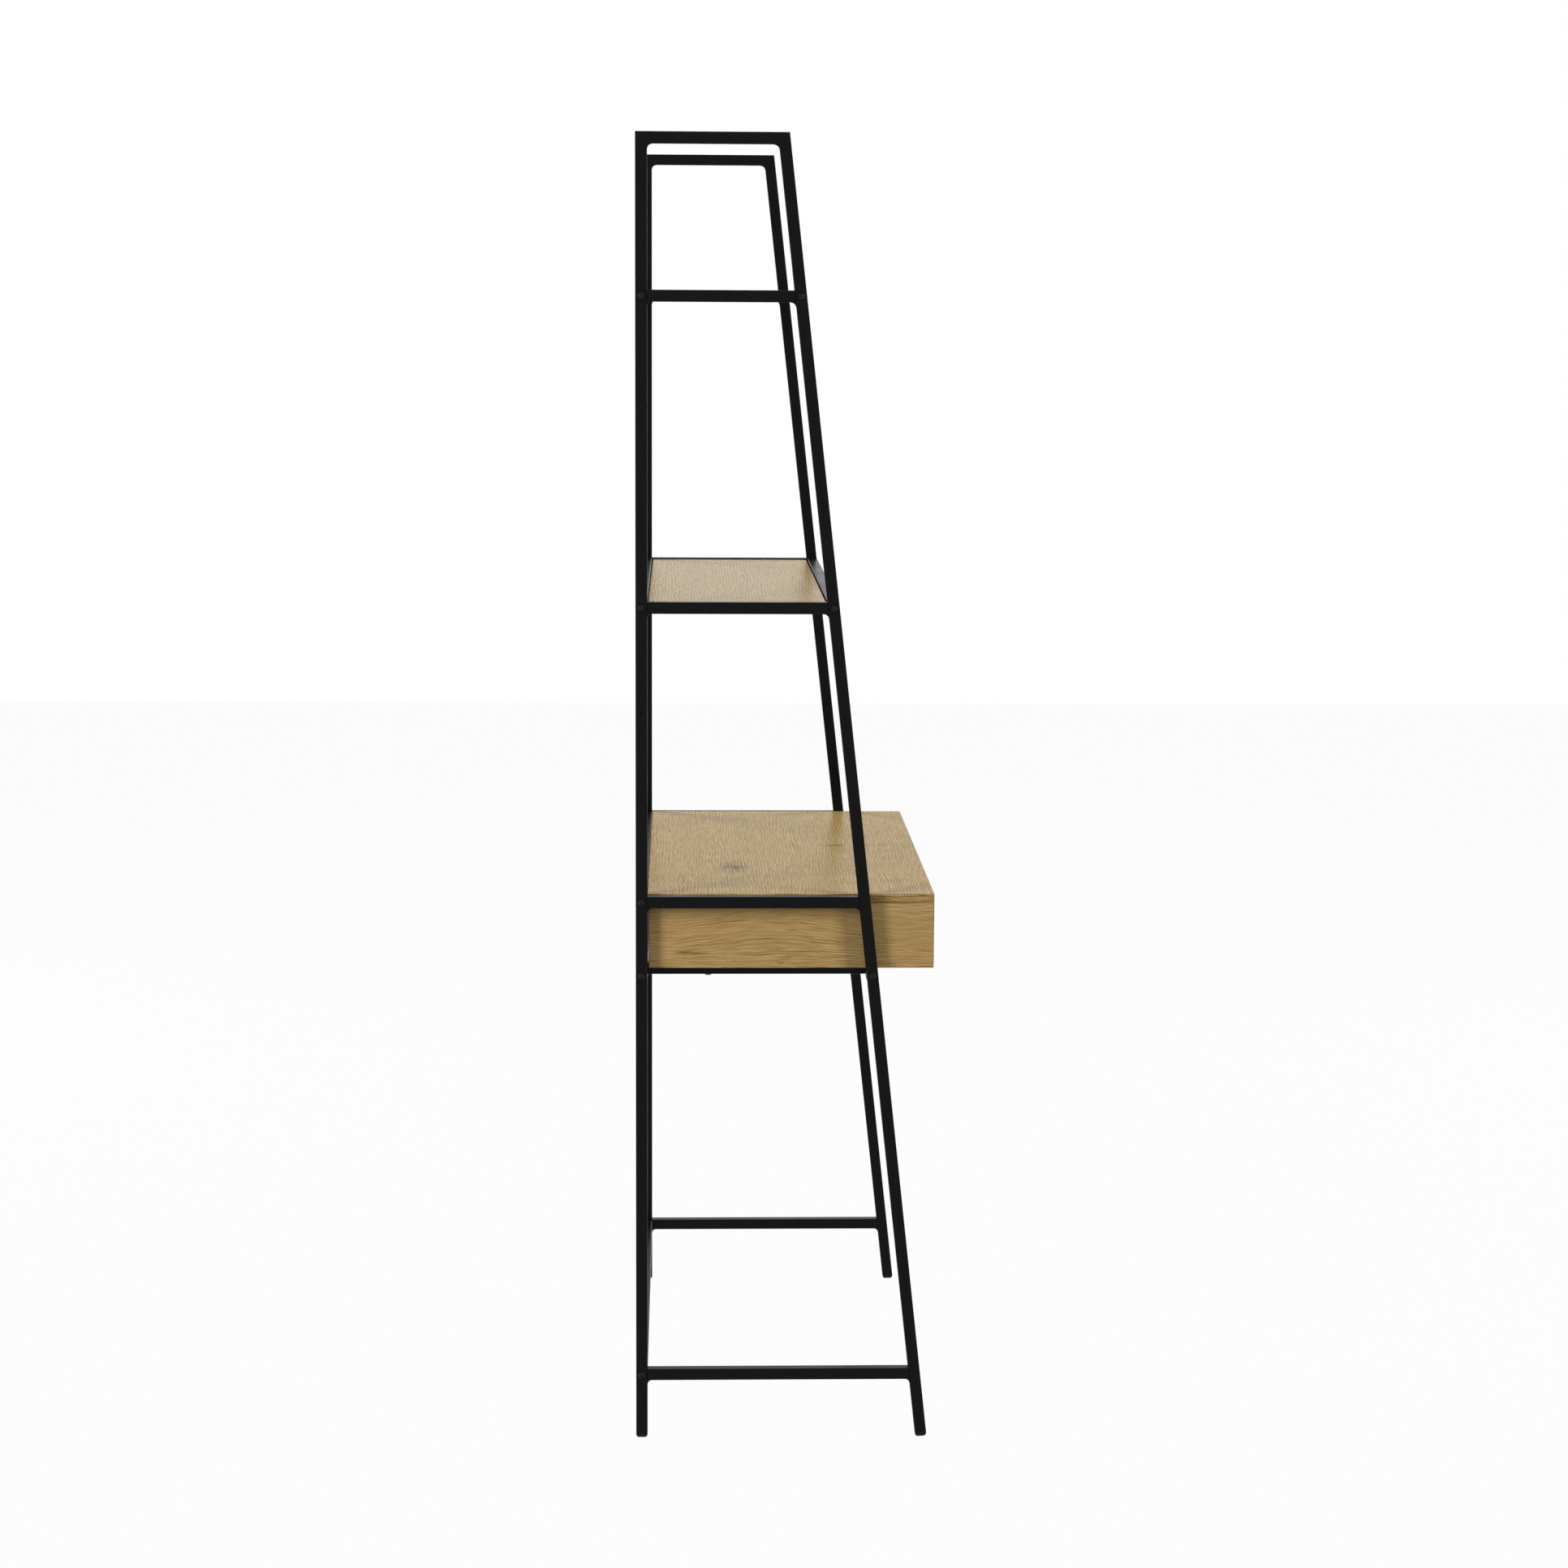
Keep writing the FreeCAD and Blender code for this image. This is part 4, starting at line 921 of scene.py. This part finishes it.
def feet():
    """Four feet; the front ones tilt with their legs and are cut level."""
    plastic = moulded_plastic("black foot plastic", (0.0042, 0.0042, 0.0042))
    axis_foot = tube / 2 / math.cos(lean) - foot_reach
    rear_pattern = foot_pattern(0)
    front_pattern = foot_pattern(foot_base / 2 * math.sin(lean))
    tilt = Matrix.Rotation(-lean, 4, "X")
    for side_name in SIDES:
        rear = centre_of(side_name + "_rear_leg")
        moves = {
            "rear": (rear_pattern, Matrix.Translation((rear.x, rear.y, 0))),
            "front": (front_pattern, Matrix.Translation((rear.x, axis_foot, 0)) @ tilt),
        }
        for end, (pattern, move) in moves.items():
            foot = copy_of(pattern, "_".join((side_name, end, "foot")), move)
            if end == "front":
                saw(foot, (0, 0, 0), (0, 0, -1), close=True)
            edit(foot)
            pick(foot, "EDGE", lambda edge: lies_at(edge, 0))
            bpy.ops.mesh.bevel(offset=foot_rim, segments=3, clamp_overlap=True)
            leave()
            give(foot, plastic)
            smooth(foot)
            first = side_name == "left"
            belongs(foot, "root", "black_plastic", *([end + "_feet"] if first else []))
    discard(rear_pattern)
    discard(front_pattern)


# ==== boards ============================================================================
def add_board(node, banded=True):
    """Board with soft edges and a fine seam where each face meets the edge band."""
    low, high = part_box(node)
    axis = axis_of(node, min)
    piece = add_block(node + "_board", low, high)
    edit(piece)
    bpy.ops.mesh.select_all(action="SELECT")
    bpy.ops.mesh.bevel(offset=board_edge, segments=3, profile=0.5)
    if banded:
        for way in (1, -1):
            pick(piece, "FACE", lambda face: face.normal[axis] * way > square_on)
            bpy.ops.mesh.inset(thickness=band - board_edge)
            bpy.ops.mesh.inset(thickness=seam_half_width, depth=-seam_depth)
            bpy.ops.mesh.inset(thickness=seam_half_width, depth=seam_depth)
    leave()
    return piece


def sort_faces(piece, node, face, edge, end):
    """Gives the broad faces, the long edges and the short edges their own materials."""
    low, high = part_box(node)
    thin, long = axis_of(node, min), axis_of(node, max)
    give(piece, face, edge, end)
    for polygon in piece.data.polygons:
        inside = all(
            low[index] + band < polygon.center[index] < high[index] - band
            for index in range(3) if index != thin)
        if abs(polygon.normal[thin]) > mostly and inside:
            polygon.material_index = 0
        elif abs(polygon.normal[long]) > mostly:
            polygon.material_index = 2
        else:
            polygon.material_index = 1


def oak_board(node, along, across, end_along, end_across, **look):
    """A board in oak decor, the grain of its bands running along each edge."""
    piece = add_board(node)
    centre = centre_of(node)
    band_look = {"sway": 2 * mm, "ripple": 0.4 * mm, "line_weight": 0.0, "fine_weight": 0.10,
                 "fibre_weight": 1.15, "tone": band_tone}
    face = oak(node + " oak", along, across, centre, **look)
    edge = oak(node + " edge band", along, across, centre + band_shift, **band_look)
    end = oak(node + " end band", end_along, end_across, centre, **band_look)
    sort_faces(piece, node, face, edge, end)
    smooth(piece)
    belongs(piece, "root", "oak_board", node)


# Grain of the boards that stand on edge
upright_look = {"sway": 3.5 * mm, "ripple": 1.0 * mm}
side_look = {**upright_look, "line_weight": 0.05, "fine_weight": 0.17, "fibre_weight": 0.34}
front_look = {**upright_look, "line_weight": 0.06, "fine_weight": 0.23, "fibre_weight": 0.48}


def level_boards():
    """Desktop, shelves and the bottom of the box."""
    desktop_knots = [
        (-153 * mm, 77 * mm, 55 * mm, 22 * mm, 0.9),
        (-151 * mm, 74 * mm, 13 * mm, 20 * mm, 1.7),
        (39 * mm, -78 * mm, 11 * mm, 22 * mm, 1.3),
        (39 * mm, -136 * mm, 12 * mm, 30 * mm, 0.5),
        (5 * mm, -90 * mm, 34 * mm, 26 * mm, 0.25),
        (-172 * mm, -92 * mm, 5 * mm, 4 * mm, 1.0),
        (-262 * mm, -154 * mm, 22 * mm, 26 * mm, 0.5),
    ]
    desktop_eddies = [
        (261 * mm, -15 * mm, 60 * mm, 20 * mm, 6 * mm),
        (83 * mm, 108 * mm, 60 * mm, 22 * mm, -6 * mm),
        (-76 * mm, -18 * mm, 50 * mm, 18 * mm, 5 * mm),
        (-262 * mm, 172 * mm, 50 * mm, 20 * mm, -7 * mm),
        (-275 * mm, -22 * mm, 55 * mm, 20 * mm, 7 * mm),
    ]
    lower_knots = [(-24 * mm, -118 * mm, 120 * mm, 14 * mm, 0.24)]
    lower_eddies = [
        (-125 * mm, 82 * mm, 100 * mm, 24 * mm, 5 * mm),
        (-190 * mm, -98 * mm, 90 * mm, 22 * mm, -6 * mm),
    ]
    upper_knots = [(150 * mm, 20 * mm, 30 * mm, 18 * mm, 0.35)]
    # painted light: the tones of the desktop and upper shelf stand in for the warm sheen on them
    oak_board("desktop", X, Y, Y, Z, knots=desktop_knots, eddies=desktop_eddies,
              tone=level_board_painted_sheen_tone)
    # painted light: the lower shelf's tone lightens and warms it to stand in for its grazing
    # sheen
    oak_board("lower_shelf", X, Y, Y, Z, knots=lower_knots, eddies=lower_eddies,
              line_weight=0.27, tone=lower_shelf_painted_light_tone, sheen=lower_shelf_sheen)
    oak_board("upper_shelf", X, Y, Y, Z, knots=upper_knots, tone=level_board_painted_sheen_tone)
    oak_board("box_bottom", X, Y, Y, Z)


def upright_boards():
    """Back and sides of the box."""
    left_knots = [
        (148 * mm, -24.0 * mm, 14 * mm, 2.4 * mm, 1.2),
        (126 * mm, -25.5 * mm, 22 * mm, 1.4 * mm, 0.9),
        (15 * mm, -39.0 * mm, 6 * mm, 2.2 * mm, 0.7),
    ]
    left_eddies = [(17 * mm, 12 * mm, 85 * mm, 34 * mm, -13 * mm)]
    oak_board("box_back", X, Z, Z, X)
    oak_board("left_box_side", Y, Z, Z, Y, knots=left_knots, eddies=left_eddies, **side_look)
    oak_board("right_box_side", Y, Z, Z, Y, **side_look)


def is_grip_rim(edge, low, high):
    """Whether an edge of the finger cut-out lies in one of the drawer front's two faces."""
    point = middle(edge)
    on_face = min(abs(point.y - low.y), abs(point.y - high.y)) < grip_match
    beside = abs(point.x) < grip_width / 2 + grip_match
    return on_face and beside and (
        high.z - grip_depth - grip_match < point.z < high.z - grip_top)


def drawer_front():
    """Board with a rounded finger cut-out in its upper edge."""
    node = "drawer_front"
    low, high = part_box(node)
    piece = add_board(node)
    half = grip_width / 2
    cutter = add_block("grip", (-half, low.y - mm, high.z - grip_depth),
                       (half, high.y + mm, high.z + grip_depth))
    edit(cutter)
    pick(cutter, "EDGE",
         lambda edge: abs(run_of(edge).y) > aligned and middle(edge).z < high.z)
    bpy.ops.mesh.bevel(offset=grip_corner, segments=12, profile=0.5)
    leave()
    carve(piece, cutter)
    edit(piece)
    pick(piece, "EDGE", lambda edge: is_grip_rim(edge, low, high))
    bpy.ops.mesh.bevel(offset=grip_edge, segments=4, profile=0.5)
    leave()
    centre = centre_of(node)
    knots = [(-190 * mm, 8 * mm, 26 * mm, 4 * mm, 0.6)]
    face = oak("drawer front oak", X, Z, centre, knots=knots, **front_look)
    edge_band = oak("drawer front edge band", X, Y, centre, **front_look)
    end_band = oak("drawer front end band", Z, Y, centre, **front_look)
    sort_faces(piece, node, face, edge_band, end_band)
    smooth(piece)
    belongs(piece, "drawer", "oak_board", node)


def drawer_side(side_name):
    """Side of the drawer, grooved for its bottom."""
    node = side_name + "_drawer_side"
    side = SIDES[side_name]
    low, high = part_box(node)
    bottom_low, bottom_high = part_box("drawer_bottom")
    inner = low.x if side > 0 else high.x
    piece = add_board(node)
    carve(piece, add_block("groove", (inner - groove_depth, low.y - mm, bottom_low.z),
                           (inner + groove_depth, high.y + mm, bottom_high.z + groove_room)))
    pattern_centre = centre_of(node) * side      # so that the two sides' grain differs
    give(piece, pale_foil(node + " foil", Y, Z, pattern_centre))
    smooth(piece)
    belongs(piece, "drawer", "drawer_board", node)


def drawer_box():
    """Drawer's sides, back and bottom in a pale plain-grained foil."""
    for side_name in SIDES:
        drawer_side(side_name)
    for node, across, slot, banded in (("drawer_back", Z, "drawer_board", True),
                                       ("drawer_bottom", Y, "drawer_panel", False)):
        piece = add_board(node, banded)
        give(piece, pale_foil(node + " foil", X, across, centre_of(node)))
        smooth(piece)
        belongs(piece, "drawer", slot, node)


# ==== pieces that keep their CAD shape ==================================================
def dress_nodes():
    """Fine hardware keeps its shape and gets its finish."""
    zinc = plated_steel("zinc-plated steel", (0.56, 0.57, 0.60), 0.28)
    rolled = plated_steel("rolled slide steel", (0.60, 0.61, 0.63), 0.24, drawn=(1, 0.03, 1))
    cast = plated_steel("cast zinc", (0.48, 0.48, 0.50), 0.42)
    ball = plated_steel("polished ball steel", (0.75, 0.75, 0.77), 0.12)
    beech = pale_foil("ribbed beech", Z, X, (0, 0, 0))
    dress = {
        zinc: ("rail_inserts", "drawer_screws", "channel_screws", "bar_screws", "cam_bolts"),
        rolled: ("left_slide_channel", "right_slide_channel", "left_slide_bar",
                 "right_slide_bar", "ball_cages"),
        cast: ("cam_locks",),
        ball: ("slide_balls",),
        beech: ("box_dowels", "drawer_dowels"),
        black: ("shelf_tabs",),
        bolt_black: ("shelf_screws",),
    }
    for material, names in dress.items():
        for name in names:
            give(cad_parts[name], material)


# ==== floor, light and camera ===========================================================
def seen_directly(tree):
    """1 for what the camera, a reflection or a clear piece sees, else 0."""
    path = tree.nodes.new("ShaderNodeLightPath")
    seen = path.outputs["Is Camera Ray"]
    for other in ("Is Glossy Ray", "Is Transmission Ray"):
        most = tree.nodes.new("ShaderNodeMath")
        most.operation = "MAXIMUM"
        tree.links.new(seen, most.inputs[0])
        tree.links.new(path.outputs[other], most.inputs[1])
        seen = most.outputs[0]
    return seen


def studio_world():
    """White surroundings that light the desk only faintly."""
    world = bpy.data.worlds.new("studio")
    bpy.context.scene.world = world
    world.use_nodes = True
    tree = world.node_tree
    background = tree.nodes["Background"]
    background.inputs["Color"].default_value = white_light
    level = tree.nodes.new("ShaderNodeMapRange")
    tree.links.new(seen_directly(tree), level.inputs["Value"])
    level.inputs["To Min"].default_value = studio_level
    level.inputs["To Max"].default_value = white
    tree.links.new(level.outputs[0], background.inputs["Strength"])


def studio_floor():
    """Pale floor that takes a soft shadow, and is clear from below."""
    deselect()
    bpy.ops.mesh.primitive_plane_add(size=floor_size)
    floor = named("studio_floor")
    finish = Finish("pale floor")
    tree = finish.tree
    finish.set(Base_Color=floor_grey, Roughness=0.9, Specular_IOR_Level=0.0)
    glow = finish.node("Emission", {"Color": white_light, "Strength": white})
    share = finish.math("MULTIPLY", seen_directly(tree), floor_glow)
    blend = finish.node("MixShader", {0: share, 1: finish.surface.outputs[0], 2: glow.outputs[0]})
    below = finish.node("NewGeometry").outputs["Backfacing"]
    clear = finish.node("BsdfTransparent")
    both = finish.node("MixShader", {0: below, 1: blend.outputs[0], 2: clear.outputs[0]})
    tree.links.new(both.outputs[0], tree.nodes["Material Output"].inputs["Surface"])
    give(floor, finish.material)


def softbox(name, place, aim):
    """Area lamp that neither the camera nor a reflection sees."""
    lamp = bpy.data.lights.new(name, "AREA")
    lamp.shape = "RECTANGLE"
    lamp.size = lamp_width
    lamp.size_y = lamp_tall
    lamp.energy = lamp_power
    lamp_object = bpy.data.objects.new(name, lamp)
    lamp_object.location = place
    lamp_object.rotation_euler = (Vector(aim) - Vector(place)).to_track_quat("-Z", "Y").to_euler()
    lamp_object.visible_camera = False
    lamp_object.visible_glossy = False
    bpy.context.scene.collection.objects.link(lamp_object)


def studio_lamps():
    """Four tall softboxes in a ring, well to the sides, so that every side is lit alike."""
    for side_name, side in SIDES.items():
        for end, (x, y) in {"rear": rear_lamp, "front": front_lamp}.items():
            softbox("_".join((side_name, end, "softbox")), (side * x, y, lamp_height),
                    (side * lamp_aim_x, 0, lamp_aim_height))


def studio_camera():
    """Camera level with the upper shelf, looking at the left side frame."""
    data = bpy.data.cameras.new("camera")
    data.lens = camera_lens
    camera = bpy.data.objects.new("camera", data)
    bpy.context.scene.collection.objects.link(camera)
    forward = Vector((math.cos(camera_turn) * math.cos(camera_tip),
                      -math.sin(camera_turn) * math.cos(camera_tip), -math.sin(camera_tip)))
    level_right = Vector((-math.sin(camera_turn), -math.cos(camera_turn), 0))
    level_up = level_right.cross(forward)
    right = math.cos(camera_roll) * level_right + math.sin(camera_roll) * level_up
    up = right.cross(forward)
    basis = Matrix((right, up, -forward)).transposed()
    camera.matrix_world = Matrix.LocRotScale(camera_place, basis.to_quaternion(), None)
    bpy.context.scene.camera = camera


# ==== the whole desk ====================================================================
for side_name in SIDES:
    side_frame(side_name)
for rail in CROSS_RAILS:
    straight_rail(rail)
frame_bolts()
under_desk_screws()
feet()
level_boards()
upright_boards()
drawer_front()
drawer_box()
dress_nodes()
studio_world()
studio_floor()
studio_lamps()
studio_camera()
bpy.context.scene.view_settings.view_transform = "Standard"
